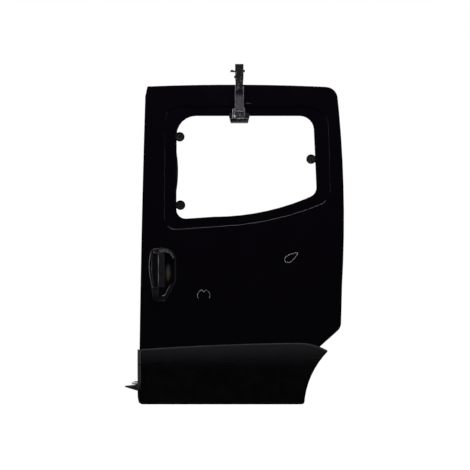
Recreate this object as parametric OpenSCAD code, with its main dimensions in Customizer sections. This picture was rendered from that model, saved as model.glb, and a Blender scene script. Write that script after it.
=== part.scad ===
// Left-hand sliding door of a small van, hung on a steel display hook.
// It is a double-skinned pressed steel door with its window glass taken out, its plastic
// lower cladding, outer handle, latches and roller arms still on.
// Seen from outside the vehicle: X runs to the rear, Y into the cabin, Z up.
// Places are first given from the foot of the door's front edge ("door places"),
// and the whole is then moved so that the origin is the middle of the hook's top face.

/* [Door] */
// Height of the door over its cladding
door_h = 1250; // [1100:10:1400]
// Reach of the rear edge at its fullest point
door_w = 786; // [740:1:860]
// Radius of the vertical bow of the body side
bow_r = 4200; // [3200:100:6000]
// Height of the fullest point of that bow
bow_z = 426; // [380:1:480]
// Sheet thickness of the pressings
sheet = 1.5; // [1:0.1:2]
// Width of the folded hem round the outer skin
hem_w = 12; // [8:1:16]
// Lean of the front edge from foot to top corner
front_lean = 18; // [8:1:26]
// Height of the top edge's crown
top_crown = 9; // [4:1:14]
// Radius of the upper rear corner
rear_corner_r = 47; // [30:1:60]
// Height of the foot of the rear edge
quarter_z = 298; // [270:1:330]
// Height where the rear foot's slant meets the wheel arch
arch_top_z = 225; // [215:1:240]

/* [Window] */
// Place of the opening's front edge
win_x = 143; // [125:1:165]
// Length of the opening along its top edge
win_len = 535; // [500:1:560]
// Height of the opening's front corner over the foot of the door
win_z = 719; // [700:1:740]
// Rise of the sill towards the rear
sill_rise = 99; // [70:1:120]
// Distance from the opening's top edge to the door's top edge
win_head = 125; // [115:1:150]
// Depth of the glass rebate
rebate = 6; // [4:0.5:8]
// Width of the glass rebate round the opening
rebate_w = 46; // [36:1:50]
// Width of the welded lip round the opening
lip_w = 15; // [12:1:20]

/* [Inner panel] */
// Depth of the door below the window sill
body_depth = 60; // [50:1:75]
// Depth of the frame round the window
frame_depth = 40; // [32:1:48]
// Width of the welded flange round the inner panel
flange_w = 20; // [16:1:24]

/* [Cladding] */
// How far the cladding stands out from the paint
clad_proud = 14; // [10:1:18]
// Wall of the cladding
clad_wall = 3; // [2.5:0.5:4]
// Height of the cladding's upper edge at the front
clad_front_z = 215; // [205:1:225]
// Height of the cladding's upper edge at its fullest
clad_top_z = 239.5; // [235:0.5:250]
// Reach of the cladding's rear point
clad_tip_x = 732; // [715:1:745]
// Height of that point
clad_tip_z = 209; // [200:1:215]
// Length of the cladding's lower edge
clad_foot = 640; // [610:1:660]
// Height of the sloped ledge along the top
ledge = 10; // [6:1:12]
// Upright rim between that ledge and the paint
ledge_rim = 2; // [1:0.5:4]
// Height of the rolled part under that ledge
roll_h = 62; // [50:1:75]
// Radius of that roll
roll_r = 220; // [180:10:320]

/* [Outer handle] */
// Front edge of the handle's surround
handle_x = 39; // [34:1:50]
// Width of the surround
handle_w = 103; // [96:1:115]
// Lower end of the surround
handle_z = 400; // [385:1:420]
// Length of the surround
handle_len = 207; // [190:1:220]
// Width of the pull
grip_w = 26; // [24:1:30]
// Length of the pull
grip_len = 132; // [100:1:135]
// Radius of the hinge pin of the pull
grip_pin_r = 2.5; // [2:0.25:3]
// Radial play of the pull on its pin
pin_play = 0.05; // [0.02:0.01:0.08]

/* [Lower arm] */
// Radius of the guide rollers
guide_r = 19; // [15:1:21]
// Width of the guide rollers
guide_w = 9; // [8:1:12]
// Radius of the load roller
load_r = 17; // [14:1:19]
// Radius of the roller pins
roller_pin_r = 4; // [3:0.5:5]
// Radial play of the rollers on their pins
roller_play = 0.05; // [0.02:0.01:0.08]

/* [Hook] */
// Width of the lifting channel
channel_w = 35; // [30:1:45]
// Depth of the channel's flanges
channel_d = 18; // [14:1:24]
// Steel thickness of the hook
hook_t = 3; // [2.5:0.5:4]
// Height of the hook's top face over the opening's top edge
hook_rise = 202; // [180:1:230]
// Place of the hook along the opening's top edge
hook_x = 388; // [370:1:410]
// Width of the foot
foot_w = 81; // [70:1:90]

/* [Hidden] */

// Circle quality: of the body bow, of round pieces and of rounded corners
bow_fn = 720;
round_fn = 64;
corner_steps = 6;
bow_steps = 8;
// Overshoot of cutting solids
cut = 1;
// Y room in which the door's sheets are cut out
room_front = -60;
room_back = 190;
// Length of the bow solids past both door edges
bow_margin = 80;

// Places that follow from the driving sizes
top_z = door_h - top_crown;
front_top_x = front_lean + 8;
rear_top_x = door_w - 15;
rear_foot_x = door_w - 4;
win_top_z = door_h - win_head;
win_rear_x = win_x + win_len;
win_rear_lean = 11;
sill_bend_x = win_x + 147;
foot_z = 12;
hook_top_z = win_top_z + hook_rise;

// Depth of the bowed body side behind its fullest point, at height z
function bow_y(z) = bow_r - sqrt(bow_r * bow_r - (z - bow_z) * (z - bow_z));

// Y of the surface at a depth under the paint, at height z
function depth_y(z, depth) =
    bow_r - sqrt((bow_r - depth) * (bow_r - depth) - (z - bow_z) * (z - bow_z));

// Unit vector along v
function along(v) = v / norm(v);

// Points of the arc that rounds the corner b of a path a, b, c to radius r
function corner_arc(a, b, c, r) =
    let (
        u = along(a - b),
        v = along(c - b),
        half = acos(u * v) / 2,
        centre = b + along(u + v) * r / sin(half),
        from = b + u * r / tan(half) - centre,
        to = b + v * r / tan(half) - centre,
        start = atan2(from[1], from[0]),
        turn = (atan2(to[1], to[0]) - start + 540) % 360 - 180
    )
    [for (i = [0:corner_steps]) let (t = start + turn * i / corner_steps)
        centre + r * [cos(t), sin(t)]];

// Closed outline of corners given as [x, z, radius]
function outline(c) =
    let (n = len(c), at = [for (p = c) [p[0], p[1]]])
    [for (i = [0:n - 1])
        each c[i][2] == 0 ? [at[i]] :
            corner_arc(at[(i + n - 1) % n], at[i], at[(i + 1) % n], c[i][2])];

// Inner points, as plain corners, of an arc from p to q that rises h to the left of its chord
function bow(p, q, h, n = bow_steps) =
    let (
        d = q - p,
        side = along([-d[1], d[0]]),
        r = (norm(d) * norm(d) / 4 + h * h) / (2 * abs(h)),
        centre = (p + q) / 2 + side * (h - sign(h) * r),
        a = atan2((p - centre)[1], (p - centre)[0]),
        turn = (atan2((q - centre)[1], (q - centre)[0]) - a + 540) % 360 - 180
    )
    [for (i = [1:n - 1]) let (t = a + turn * i / n)
        [centre[0] + r * cos(t), centre[1] + r * sin(t), 0]];

// Extrude an X-Z shape along Y between two depths
module slab(y0, y1) {
    translate([0, y1, 0])
        rotate([90, 0, 0])
            linear_extrude(y1 - y0) children();
}

// Round bar along Y, X and Z
module rod_y(r, x, z, y0, y1) {
    translate([x, y1, z]) rotate([90, 0, 0]) cylinder(r = r, h = y1 - y0, $fn = round_fn);
}

module rod_x(r, y, z, x0, x1) {
    translate([x0, y, z]) rotate([0, 90, 0]) cylinder(r = r, h = x1 - x0, $fn = round_fn);
}

module rod_z(r, x, y, z0, z1) {
    translate([x, y, z0]) cylinder(r = r, h = z1 - z0, $fn = round_fn);
}

// Everything behind the body side's surface sunk by a depth
module bow_body(depth) {
    translate([-bow_margin, bow_r, bow_z])
        rotate([0, 90, 0])
            cylinder(r = bow_r - depth, h = door_w + 2 * bow_margin, $fn = bow_fn);
}

// Bowed sheet of an X-Z shape between two depths under the paint
module sheet_at(front, back) {
    intersection() {
        slab(room_front, room_back) children();
        difference() {
            bow_body(front);
            bow_body(back);
        }
    }
}

// Block between two corners
module block(low, high) {
    translate(low) cube(high - low);
}

// Place a fitting on a surface at a depth under the paint, square to it. Its local Y points
// into the cabin, and a flat back of height h at local Y 0 clears the hollow of the bow.
module on_face(x, z, h, depth) {
    lift = h * h / (8 * (bow_r - depth));
    translate([x, depth_y(z, depth), z])
        rotate([-asin((z - bow_z) / (bow_r - depth)), 0, 0])
            translate([0, lift, 0]) children();
}

// Ring just inside an X-Z shape, from one inset to a deeper one
module ring(from, to) {
    difference() {
        offset(delta = -from) children();
        offset(delta = -to) children();
    }
}

// Outer edge of the steel door
module door_shape() {
    rear_top = [rear_top_x, top_z - 2];
    rear_mid = [door_w, 459];
    arch_top = [701, arch_top_z];
    arch_foot = [622, foot_z];
    front_top = [front_top_x, top_z + 2];
    polygon(outline(concat(
        [[4, foot_z, 6], [0.6, clad_front_z - 4, 0], [front_lean, top_z - 38, 0]],
        [[front_top[0], front_top[1], 5]],
        bow(front_top, rear_top, top_crown),
        [[rear_top[0], rear_top[1], rear_corner_r]],
        bow(rear_top, rear_mid, 15),
        [[rear_mid[0], rear_mid[1], 0], [rear_foot_x, quarter_z, 40]],
        [[arch_top[0], arch_top[1], 20]],
        bow(arch_top, arch_foot, -20),
        [[arch_foot[0], arch_foot[1], 8]])));
}

// X of the opening's slanting rear edge at height z
function win_rear_at(z) =
    win_rear_x + win_rear_lean * (win_top_z - z) / (win_top_z - win_z - sill_rise);

// Window opening, left open since its glass is out
module window_shape() {
    sill_bend = [sill_bend_x, win_z + 10];
    sill_end = [win_rear_x + win_rear_lean, win_z + sill_rise];
    polygon(outline(concat(
        [[win_x, win_z, 36], [win_x, win_top_z, 75], [win_rear_x, win_top_z, 55]],
        [[sill_end[0], sill_end[1], 38]],
        bow(sill_end, sill_bend, 22.5),
        [[sill_bend[0], sill_bend[1], 0]])));
}

// Outer edge of the glass rebate
module rebate_shape() {
    low_bend = [win_x + 248, win_z - 22];
    low_end = [win_rear_x + 64, win_z + 73];
    low = win_z - 43;
    high = win_top_z + rebate_w - 6;
    polygon(outline(concat(
        [[win_x - rebate_w, low, 44], [win_x - rebate_w, high, 58]],
        [[win_rear_x + rebate_w + 12, high, 85], [low_end[0], low_end[1], 60]],
        bow(low_end, low_bend, 14, 4),
        [[low_bend[0], low_bend[1], 0]])));
}

// Outer edge of the handle's surround
module surround_shape() {
    top = handle_z + handle_len;
    rear = handle_x + handle_w;
    polygon(outline([
        [handle_x, top, 26], [rear, top, 48], [rear, handle_z + 76, 42],
        [handle_x + 65, handle_z, 14], [handle_x + 15, handle_z, 14],
        [handle_x - 2, handle_z + 120, 60]]));
}

// Outer pressed skin, with the glass rebate and a folded hem
module outer_skin() {
    color("black")
    difference() {
        union() {
            sheet_at(0, sheet) difference() {
                door_shape();
                rebate_shape();
            }
            sheet_at(0, rebate + sheet) ring(-sheet, 0) rebate_shape();
            sheet_at(rebate, rebate + sheet) difference() {
                rebate_shape();
                window_shape();
            }
            sheet_at(0, 3 * sheet) ring(0, sheet) door_shape();
            sheet_at(2 * sheet, 3 * sheet) ring(0, hem_w) door_shape();
        }
        slab(room_front, room_back) bowl_shape(0);
    }
}

// Access openings of the inner panel, as [x, z, width, height]
access = [[90, 118, 150, 150], [285, 118, 250, 150], [300, 330, 190, 250],
    [535, 330, 170, 170]];
access_r = 30;

module access_shape() {
    for (a = access)
        polygon(outline([
            [a[0], a[1], access_r], [a[0], a[1] + a[3], access_r],
            [a[0] + a[2], a[1] + a[3], access_r], [a[0] + a[2], a[1], access_r]]));
}

// Turned-in edge of those openings, and the bead pressed in round each of them
turned_edge = 6;
bead_gap = 12;
bead_w = 8;
bead_d = 2.5;

belt_z = win_z - 70;

// Half of the door below the belt line or above it
module below_belt() {
    intersection() {
        children();
        translate([-100, -100]) square([1100, belt_z + 100]);
    }
}

module above_belt() {
    intersection() {
        children();
        translate([-100, belt_z]) square([1100, 900]);
    }
}

module inner_face_shape() {
    offset(delta = -flange_w) door_shape();
}

module window_wall_shape() {
    offset(delta = lip_w) window_shape();
}

// Area inside the pan's rim
module pan_shape() {
    offset(delta = -sheet) inner_face_shape();
}

// Face of the pan below the belt line, with its access openings, and the shelf that
// steps up to the window frame
module inner_panel() {
    color("black")
    difference() {
        union() {
            sheet_at(body_depth - sheet, body_depth) below_belt() difference() {
                pan_shape();
                access_shape();
            }
            sheet_at(frame_depth - sheet, body_depth) intersection() {
                pan_shape();
                translate([0, belt_z - sheet]) square([door_w, sheet]);
            }
            sheet_at(body_depth - turned_edge, body_depth) ring(-sheet, 0) access_shape();
            sheet_at(body_depth - bead_d - sheet, body_depth - sheet / 2)
                ring(-bead_gap - bead_w - sheet, -bead_gap + sheet) access_shape();
        }
        sheet_at(body_depth - bead_d, body_depth + cut)
            ring(-bead_gap - bead_w, -bead_gap) access_shape();
        hinge_bolt_holes();
    }
}

// Rim of the pan: its side walls and the flange that is welded to the skin
module inner_panel_rim() {
    color("black")
    union() {
        sheet_at(sheet, 2 * sheet) below_belt() ring(sheet, flange_w + sheet) door_shape();
        sheet_at(sheet, body_depth) below_belt() ring(0, sheet) inner_face_shape();
    }
}

// Inner pressing of the window frame, welded to the skin round its rim and round the window
module window_frame_inner() {
    color("black")
    union() {
        sheet_at(sheet, 2 * sheet) above_belt() ring(sheet, flange_w + sheet) door_shape();
        sheet_at(sheet, frame_depth) above_belt() ring(0, sheet) inner_face_shape();
        sheet_at(frame_depth - sheet, frame_depth) above_belt() difference() {
            inner_face_shape();
            window_wall_shape();
        }
        sheet_at(rebate + sheet, frame_depth) ring(-sheet, 0) window_wall_shape();
        sheet_at(rebate + sheet, rebate + 2 * sheet) ring(-lip_w - sheet, 0) window_shape();
        for (p = bush_places)
            sheet_at(rebate + sheet, rebate + 2 * sheet) tongue_shape(p);
    }
}

// Stiffener inside the front pillar, bulging into the opening's front edge
module front_pillar_stiffener() {
    low = [win_x, win_z + 110];
    high = [win_x, win_z + 262];
    color("black")
    sheet_at(rebate + 2 * sheet, rebate + 3 * sheet) polygon(outline(concat(
        [[low[0] - lip_w, low[1], 0], [high[0] - lip_w, high[1], 0], [high[0], high[1], 0]],
        bow(high, low, 6),
        [[low[0], low[1], 0]])));
}

// Pressed rail under the sill, inside the door
module belt_stiffener() {
    rail_h = 44;
    color("black")
    difference() {
        sheet_at(sheet, 24) rail_shape(0);
        sheet_at(sheet - cut, 24 - sheet) rail_shape(sheet);
    }
    module rail_shape(inset) {
        translate([40 + inset, belt_z - rail_h + inset])
            square([690 - 2 * inset, rail_h - 2 * inset]);
    }
}

// Steel tube across the lower half against side impact
beam_r = 16;
beam_z = 352;

module side_impact_beam() {
    wall = 2.5;
    beam_y = bow_y(beam_z) + body_depth / 2;
    color("dimgray")
    difference() {
        intersection() {
            rod_x(beam_r, beam_y, beam_z, 0, door_w);
            slab(room_front, room_back) offset(delta = -sheet) inner_face_shape();
        }
        rod_x(beam_r - wall, beam_y, beam_z, -cut, door_w + cut);
    }
}

// Bitumen damping sheet stuck to the inside of the skin
module damping_pad() {
    color("dimgray")
    sheet_at(sheet, sheet + 2) polygon(outline([
        [330, 360, 20], [330, 560, 20], [620, 560, 20], [620, 360, 20]]));
}

// Edge of the cladding from its front foot up and along the top to the rear point
clad_front = [4.5, clad_front_z];
clad_crest = [615, clad_top_z];
clad_tip = [clad_tip_x, clad_tip_z];
clad_edge = concat(
    [[-1, 38, 0], [-3, 90, 0], [clad_front[0], clad_front[1], 0]],
    bow(clad_front, clad_crest, 4.5),
    [[clad_crest[0], clad_crest[1], 0]],
    bow(clad_crest, clad_tip, 8.5, 5),
    [[clad_tip[0], clad_tip[1], 3]]);

module clad_shape() {
    foot = [clad_foot, 0];
    polygon(outline(concat(
        [[4.5, 0, 8]], clad_edge, bow(clad_tip, foot, -21), [[foot[0], foot[1], 12]])));
}

// Wedge that slopes the cladding's edge along the stretch p to q, sunk by a wall
module ledge_wedge(p, q, sunk) {
    a = [p[0], bow_y(p[1]), p[1]];
    b = [q[0], bow_y(q[1]), q[1]];
    d = along(b - a);
    n = along([-d[2], 0, d[0]]);
    t = cross(d, n);
    slope = along([-ledge, clad_proud - ledge_rim]);
    inward = [-slope[1], slope[0]] * sunk;
    low = [0, ledge_rim] + inward - slope * ledge;
    high = [-ledge, clad_proud] + inward + slope * ledge;
    start = a - d * ledge;
    multmatrix([
        [n[0], t[0], d[0], start[0]], [n[1], t[1], d[1], start[1]],
        [n[2], t[2], d[2], start[2]], [0, 0, 0, 1]])
        linear_extrude(norm(b - a) + 2 * ledge)
            polygon([low, high, [2 * ledge, clad_proud + 2 * ledge]]);
}

// Space in front of the cladding's rolled upper part, sunk by a wall. It starts a little in
// front of the cladding's face, so that the two curved faces cross and don't just touch.
module roll_cut(sunk) {
    start_gap = 0.3;
    z = clad_front_z - roll_h;
    lean = asin((bow_z - z) / bow_r);
    rise = atan2(clad_top_z - clad_front_z, clad_crest[0]);
    reach = clad_tip_x + 2 * bow_margin;
    translate([-bow_margin, bow_y(z) - clad_proud - start_gap, z])
        rotate([0, -rise, 0])
            difference() {
                block([0, -clad_proud, 0], [reach, 2 * clad_proud, 2 * roll_h]);
                translate([-cut, roll_r * cos(lean), roll_r * sin(lean)])
                    rotate([0, 90, 0])
                        cylinder(r = roll_r - sunk, h = reach + 2 * cut, $fn = bow_fn);
            }
}

// Body of the cladding, or the hollow behind its wall
module clad_body(sunk, back) {
    difference() {
        sheet_at(sunk - clad_proud, back) offset(delta = -sunk) clad_shape();
        roll_cut(sunk);
        for (i = [0:len(clad_edge) - 2])
            ledge_wedge(clad_edge[i], clad_edge[i + 1], sunk);
    }
}

// Plastic cladding, a hollow tray whose rim meets the paint
module lower_cladding() {
    color("#2b2b2d")
    difference() {
        clad_body(0, 0);
        clad_body(clad_wall, cut);
    }
}

// Rubber strip along the front edge, laid in lengths with open joints
seal_foot = 260;
seal_len = 900;
seal_lengths = 3;
seal_joint = 4;
seal_step = (seal_len + seal_joint) / seal_lengths;

module front_edge_seal() {
    color("#1a1a1a")
    sheet_at(3 * sheet, 3 * sheet + 10) intersection() {
        ring(2, 10) door_shape();
        for (n = [0 : seal_lengths - 1])
            translate([-50, seal_foot + n * seal_step]) square([100, seal_step - seal_joint]);
    }
}

// Rubber bushes for the glass, each on a tongue that reaches into the opening
bush_r = 16;
bush_waist = 10;
bush_collar = 11;
bush_bore = 3;
bush_h = 14;
bush_head = 6;
latch_bush_z = win_z + 235;
bush_places = [[win_x + 12, win_top_z - 83], [win_x + 16, win_z + 55],
    [win_rear_at(latch_bush_z) - bush_r, latch_bush_z]];

module tongue_shape(p) {
    overlap = 4;
    wall_x = p[0] < (win_x + win_rear_x) / 2 ? win_x - overlap : win_rear_at(p[1]) + overlap;
    difference() {
        union() {
            translate(p) circle(r = bush_r - 2, $fn = 32);
            translate([min(p[0], wall_x), p[1] - bush_r + 3])
                square([abs(wall_x - p[0]), 2 * bush_r - 6]);
        }
        translate(p) circle(r = bush_waist, $fn = 32);
    }
}

module window_bush(p) {
    back = bush_h - bush_head;
    color("#202020")
    on_face(p[0], p[1], 0, rebate) difference() {
        union() {
            rod_y(bush_r, 0, 0, -bush_head, 0);
            rod_y(bush_collar, 0, 0, -bush_head, sheet);
            rod_y(bush_waist, 0, 0, -bush_head, back);
            rod_y(bush_r - 2, 0, 0, 2 * sheet, back);
        }
        rod_y(bush_bore, 0, 0, -bush_head - cut, back + cut);
    }
}

module window_hinge_bush_upper() { window_bush(bush_places[0]); }
module window_hinge_bush_lower() { window_bush(bush_places[1]); }
module window_latch_bush() { window_bush(bush_places[2]); }

// Outer handle: a surround with two hinge bosses, a bowl behind it and a pull between them
surround_h = 2.5;
surround_rim = 3;
bowl_wall = 2;
bowl_depth = 34;
bowl_r = (handle_w - 3) / 2;
pocket_r = 36;
pocket_y = -14;
grip_gap = 5;
boss_gap = 3;
grip_front = 12;
grip_back = 3;
crown_r = 32;
grip_x = handle_x + 11;
grip_z = handle_z + 57;
grip_end_x = grip_x + grip_w;
pivot_x = grip_x + 8;
pivot_y = -6;

// Area inside the surround's rim, at a further inset
module bowl_shape(inset) {
    offset(delta = -surround_rim - inset) surround_shape();
}

// Rounded front that the pull and its bosses share
module grip_crown() {
    rod_z(crown_r, grip_x + grip_w / 2, crown_r - grip_front, handle_z, handle_z + handle_len);
}

// Part of the bowl's area between two heights, up to the pull's free edge
module pull_shape(inset, z0, z1, x1) {
    intersection() {
        bowl_shape(inset);
        translate([handle_x - 10, z0]) square([x1 - handle_x + 10, z1 - z0]);
    }
}

// Hinge boss of the pull: seated on the paint round the bowl and plugged into its mouth
module boss(z0, z1) {
    plug = 6;
    intersection() {
        grip_crown();
        union() {
            sheet_at(-grip_front - plug, 0) pull_shape(0, z0, z1, grip_end_x);
            slab(-cut, plug) pull_shape(bowl_wall, z0, z1, grip_end_x);
        }
    }
}

module handle_surround() {
    top = handle_z + handle_len;
    color("#181818")
    difference() {
        union() {
            sheet_at(-surround_h, 0) difference() {
                surround_shape();
                bowl_shape(0);
            }
            boss(handle_z, grip_z - boss_gap);
            boss(grip_z + grip_len + boss_gap, top);
        }
        rod_z(grip_pin_r, pivot_x, pivot_y, grip_z - 14, grip_z + grip_len + 12);
    }
}

module handle_bowl() {
    color("#141414")
    difference() {
        slab(-cut, bowl_depth) bowl_shape(0);
        intersection() {
            slab(-2 * cut, bowl_depth) bowl_shape(bowl_wall);
            union() {
                rod_z(bowl_r, handle_x + 4 + bowl_r, bowl_depth - bowl_wall - bowl_r, handle_z,
                    handle_z + handle_len);
                rod_z(pocket_r, handle_x + pocket_r, pocket_y, handle_z, handle_z + handle_len);
            }
        }
        bow_front_trim();
    }
}

// Space in front of the paint, taken off pieces that end flush with the skin
module bow_front_trim() {
    sheet_at(-30, 0) square([door_w, door_h]);
}

module handle_grip() {
    color("#101010")
    difference() {
        intersection() {
            slab(-grip_front, grip_back)
                pull_shape(bowl_wall + grip_gap, grip_z, grip_z + grip_len, grip_end_x);
            grip_crown();
        }
        rod_z(grip_pin_r + pin_play, pivot_x, pivot_y, grip_z - cut, grip_z + grip_len + cut);
    }
}

module handle_pin() {
    color("silver")
    rod_z(grip_pin_r, pivot_x, pivot_y, grip_z - 14, grip_z + grip_len + 12);
}

// Latches, with a claw slot open towards the door's edge
latch_h = 92;
latch_l = 54;
latch_d = 30;
latch_z = 516;
latch_inset = 8;
front_latch_x = 4 + flange_w + latch_inset + latch_l / 2;
rear_latch_x = door_w - flange_w - latch_inset - latch_l / 2;

latch_plate = 4;
claw_r = 16;
claw_t = 5;
claw_y = 13.5;

module latch(x, dir) {
    half = latch_l / 2;
    top = latch_h / 2;
    color("silver")
    on_face(x, latch_z, latch_h, body_depth) mirror([dir < 0 ? 1 : 0, 0, 0]) union() {
        difference() {
            union() {
                block([-half, 0, -top], [half, latch_plate, top]);
                slab(0, latch_d) polygon([
                    [4 - half, -top + 16], [half, -top + 16], [half, top - 20],
                    [half - 14, top - 6], [4 - half, top - 6]]);
                rod_y(9, -12, 22, 0, latch_d + 3);
            }
            block([0, 10, -10], [half + cut, 22, 8]);
            rod_y(3, half - 10, top - 8, -cut, latch_plate + cut);
            rod_y(3, 10 - half, 8 - top, -cut, latch_plate + cut);
        }
        difference() {
            rod_y(claw_r, 0, -1, claw_y, claw_y + claw_t);
            block([2, claw_y - cut, -6], [claw_r + cut, claw_y + claw_t + cut, 4]);
        }
    }
}

module front_latch() { latch(front_latch_x, -1); }
module rear_latch() { latch(rear_latch_x, 1); }

// Release unit between the handles and the latches
unit_x = 239;
unit_z = 555;
unit_l = 86;
unit_h = 100;
unit_d = 20;
unit_plate = 6;

module release_unit() {
    half = unit_l / 2;
    top = unit_h / 2;
    color("silver")
    on_face(unit_x, unit_z, unit_h, body_depth) difference() {
        union() {
            block([-half, 0, -top], [half, unit_plate, top]);
            block([8 - half, 0, 8 - top], [half - 8, unit_d, top - 30]);
        }
        rod_y(6, 0, top - 14, -cut, unit_plate + cut);
    }
}

// Rods from the release unit to the latches
rod_r = 3;
rod_z0 = 535;
rod_lift = 12;

module latch_rod(x0, x1) {
    color("silver")
    on_face(0, rod_z0, 0, body_depth) rod_x(rod_r, rod_lift, 0, x0, x1);
}

module latch_rod_front() { latch_rod(front_latch_x + latch_l / 2, unit_x - unit_l / 2 + 8); }
module latch_rod_rear() { latch_rod(unit_x + unit_l / 2 - 8, rear_latch_x - latch_l / 2); }

// Inner handle: a base with a dish, a lever across it
inner_handle_x = 138;
inner_handle_z = 610;
inner_handle_l = 92;
inner_handle_h = 60;

module inner_handle() {
    l = inner_handle_l / 2;
    h = inner_handle_h / 2;
    rim = 6;
    color("#1c1c1c")
    on_face(inner_handle_x, inner_handle_z, inner_handle_h, body_depth) union() {
        difference() {
            slab(0, 26) polygon(outline([[-l, -h, 16], [-l, h, 16], [l, h, 16], [l, -h, 16]]));
            slab(8, 26 + cut) polygon(outline([
                [rim - l, rim - h, 12], [rim - l, h - rim, 12],
                [l - rim, h - rim, 12], [l - rim, rim - h, 12]]));
        }
        block([14 - l, 15, -8], [l - 22, 25, 8]);
        rod_z(4, 14 - l, 20, rim - h - 2, h - rim + 2);
    }
}

// Tapped plate for the middle hinge, with its four holes
hinge_plate_x = 706;
hinge_plate_z = 612;
hinge_plate_l = 84;
hinge_plate_h = 60;
hinge_plate_t = 6;
hinge_bolt_r = 4;
hinge_span_x = 48;
hinge_span_z = 24;

module hinge_bolt_holes() {
    y = depth_y(hinge_plate_z, body_depth);
    for (dx = [-hinge_span_x / 2, hinge_span_x / 2])
        for (dz = [-hinge_span_z / 2, hinge_span_z / 2])
            rod_y(hinge_bolt_r, hinge_plate_x + dx, hinge_plate_z + dz, y - 8, y + 12);
}

module rear_hinge_plate() {
    l = hinge_plate_l / 2;
    h = hinge_plate_h / 2;
    color("gray")
    difference() {
        on_face(hinge_plate_x, hinge_plate_z, hinge_plate_h, body_depth)
            block([-l, 0, -h], [l, hinge_plate_t, h]);
        hinge_bolt_holes();
    }
}

// Rubber buffers at the rear edge
buffer_r = 13;
buffer_x = door_w - flange_w - 22;

module buffer(z, depth) {
    color("#202020")
    on_face(buffer_x, z, 2 * buffer_r, depth) union() {
        rod_y(buffer_r, 0, 0, 0, 8);
        rod_y(buffer_r - 4, 0, 0, 0, 14);
    }
}

module buffer_upper() { buffer(820, frame_depth); }
module buffer_lower() { buffer(340, body_depth); }

// Upper arm with its guide roller
upper_x = 92;
upper_z = 1178;
upper_reach = 70;
upper_foot_h = 50;
upper_roller_r = 14;
upper_roller_w = 10;
arm_t = 4;
pin_head_h = 2.5;
pin_head_lip = 2.5;
pin_head_gap = 0.5;
upper_y = depth_y(upper_z, frame_depth);
upper_roller_y = upper_y + upper_reach - 8;

module upper_arm() {
    color("gray")
    difference() {
        union() {
            on_face(upper_x, upper_z, upper_foot_h, frame_depth)
                block([-30, 0, -upper_foot_h / 2], [34, arm_t, upper_foot_h / 2]);
            translate([upper_x, upper_y, upper_z]) linear_extrude(arm_t) polygon([
                [-22, arm_t / 2], [-16, upper_reach], [10, upper_reach], [26, arm_t / 2]]);
        }
        rod_z(roller_pin_r, upper_x, upper_roller_y, upper_z - cut, upper_z + arm_t + cut);
    }
}

// Roller about Z with a chamfered tread and a sunk web round its hub
module roller(r, w, bore) {
    chamfer = 1.5;
    hub = bore + 5;
    rim = r - 4;
    sunk = 1.5;
    rotate_extrude($fn = round_fn) polygon([
        [bore, 0], [r - chamfer, 0], [r, chamfer], [r, w - chamfer], [r - chamfer, w],
        [rim, w], [rim, w - sunk], [hub, w - sunk], [hub, w], [bore, w]]);
}

module upper_roller_pin() {
    top = upper_z + arm_t + upper_roller_w;
    color("silver")
    union() {
        rod_z(roller_pin_r, upper_x, upper_roller_y, upper_z, top + pin_head_h);
        rod_z(roller_pin_r + pin_head_lip, upper_x, upper_roller_y, top, top + pin_head_h);
    }
}

module upper_roller() {
    color("#d8d4c8")
    translate([upper_x, upper_roller_y, upper_z + arm_t])
        roller(upper_roller_r, upper_roller_w, roller_pin_r);
}

// Lower arm: a foot on the inner panel, a flat arm and a turned-down front web
lower_z = 57;
lower_foot_z = 71;
lower_foot_h = 82;
lower_y = depth_y(lower_foot_z, body_depth);
lower_tip_x = -64;
guide_y = lower_y + 46;
guide_front_x = -20;
guide_rear_x = 66;
guide_gap = 5;
web_y = lower_y + 24;
load_x = 22;
load_w = 14;
load_z = lower_z - load_r - 4;

module lower_arm() {
    top = lower_z + arm_t;
    color("#4a3b34")
    difference() {
        union() {
            on_face(86, lower_foot_z, lower_foot_h, body_depth)
                block([-56, 0, -lower_foot_h / 2], [56, arm_t, lower_foot_h / 2]);
            translate([0, 0, lower_z]) linear_extrude(arm_t) polygon([
                [lower_tip_x, web_y], [lower_tip_x, web_y + 10], [-40, guide_y + 14],
                [80, guide_y + 14], [136, lower_y + 3], [36, lower_y + 3], [-6, web_y]]);
            slab(web_y, web_y + arm_t) polygon([
                [lower_tip_x, lower_z], [lower_tip_x, top], [40, top], [40, 26], [4, 26],
                [-8, 40]]);
        }
        for (x = [guide_front_x, guide_rear_x])
            rod_z(roller_pin_r, x, guide_y, lower_z - cut, top + cut);
        rod_y(roller_pin_r, load_x, load_z, web_y - cut, web_y + arm_t + cut);
    }
}

// Guide pin with a shoulder that keeps the roller off the arm
module guide_pin(x) {
    base = lower_z + arm_t;
    head = base + guide_gap + guide_w + pin_head_gap;
    color("silver")
    union() {
        rod_z(roller_pin_r, x, guide_y, lower_z, head + pin_head_h);
        rod_z(roller_pin_r + 3, x, guide_y, base, base + guide_gap);
        rod_z(roller_pin_r + pin_head_lip, x, guide_y, head, head + pin_head_h);
    }
}

module guide_roller(x, play) {
    color("#d8d4c8")
    translate([x, guide_y, lower_z + arm_t + guide_gap])
        roller(guide_r, guide_w, roller_pin_r + play);
}

module lower_guide_pin_front() { guide_pin(guide_front_x); }
module lower_guide_pin_rear() { guide_pin(guide_rear_x); }
module lower_guide_roller_front() { guide_roller(guide_front_x, roller_play); }
module lower_guide_roller_rear() { guide_roller(guide_rear_x, 0); }

module lower_load_pin() {
    end = web_y + arm_t + load_w;
    color("silver")
    union() {
        rod_y(roller_pin_r, load_x, load_z, web_y, end + pin_head_h);
        rod_y(roller_pin_r + pin_head_lip, load_x, load_z, end, end + pin_head_h);
    }
}

module lower_load_roller() {
    color("#d8d4c8")
    translate([load_x, web_y + arm_t, load_z])
        rotate([-90, 0, 0])
            roller(load_r, load_w, roller_pin_r);
}

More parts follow.
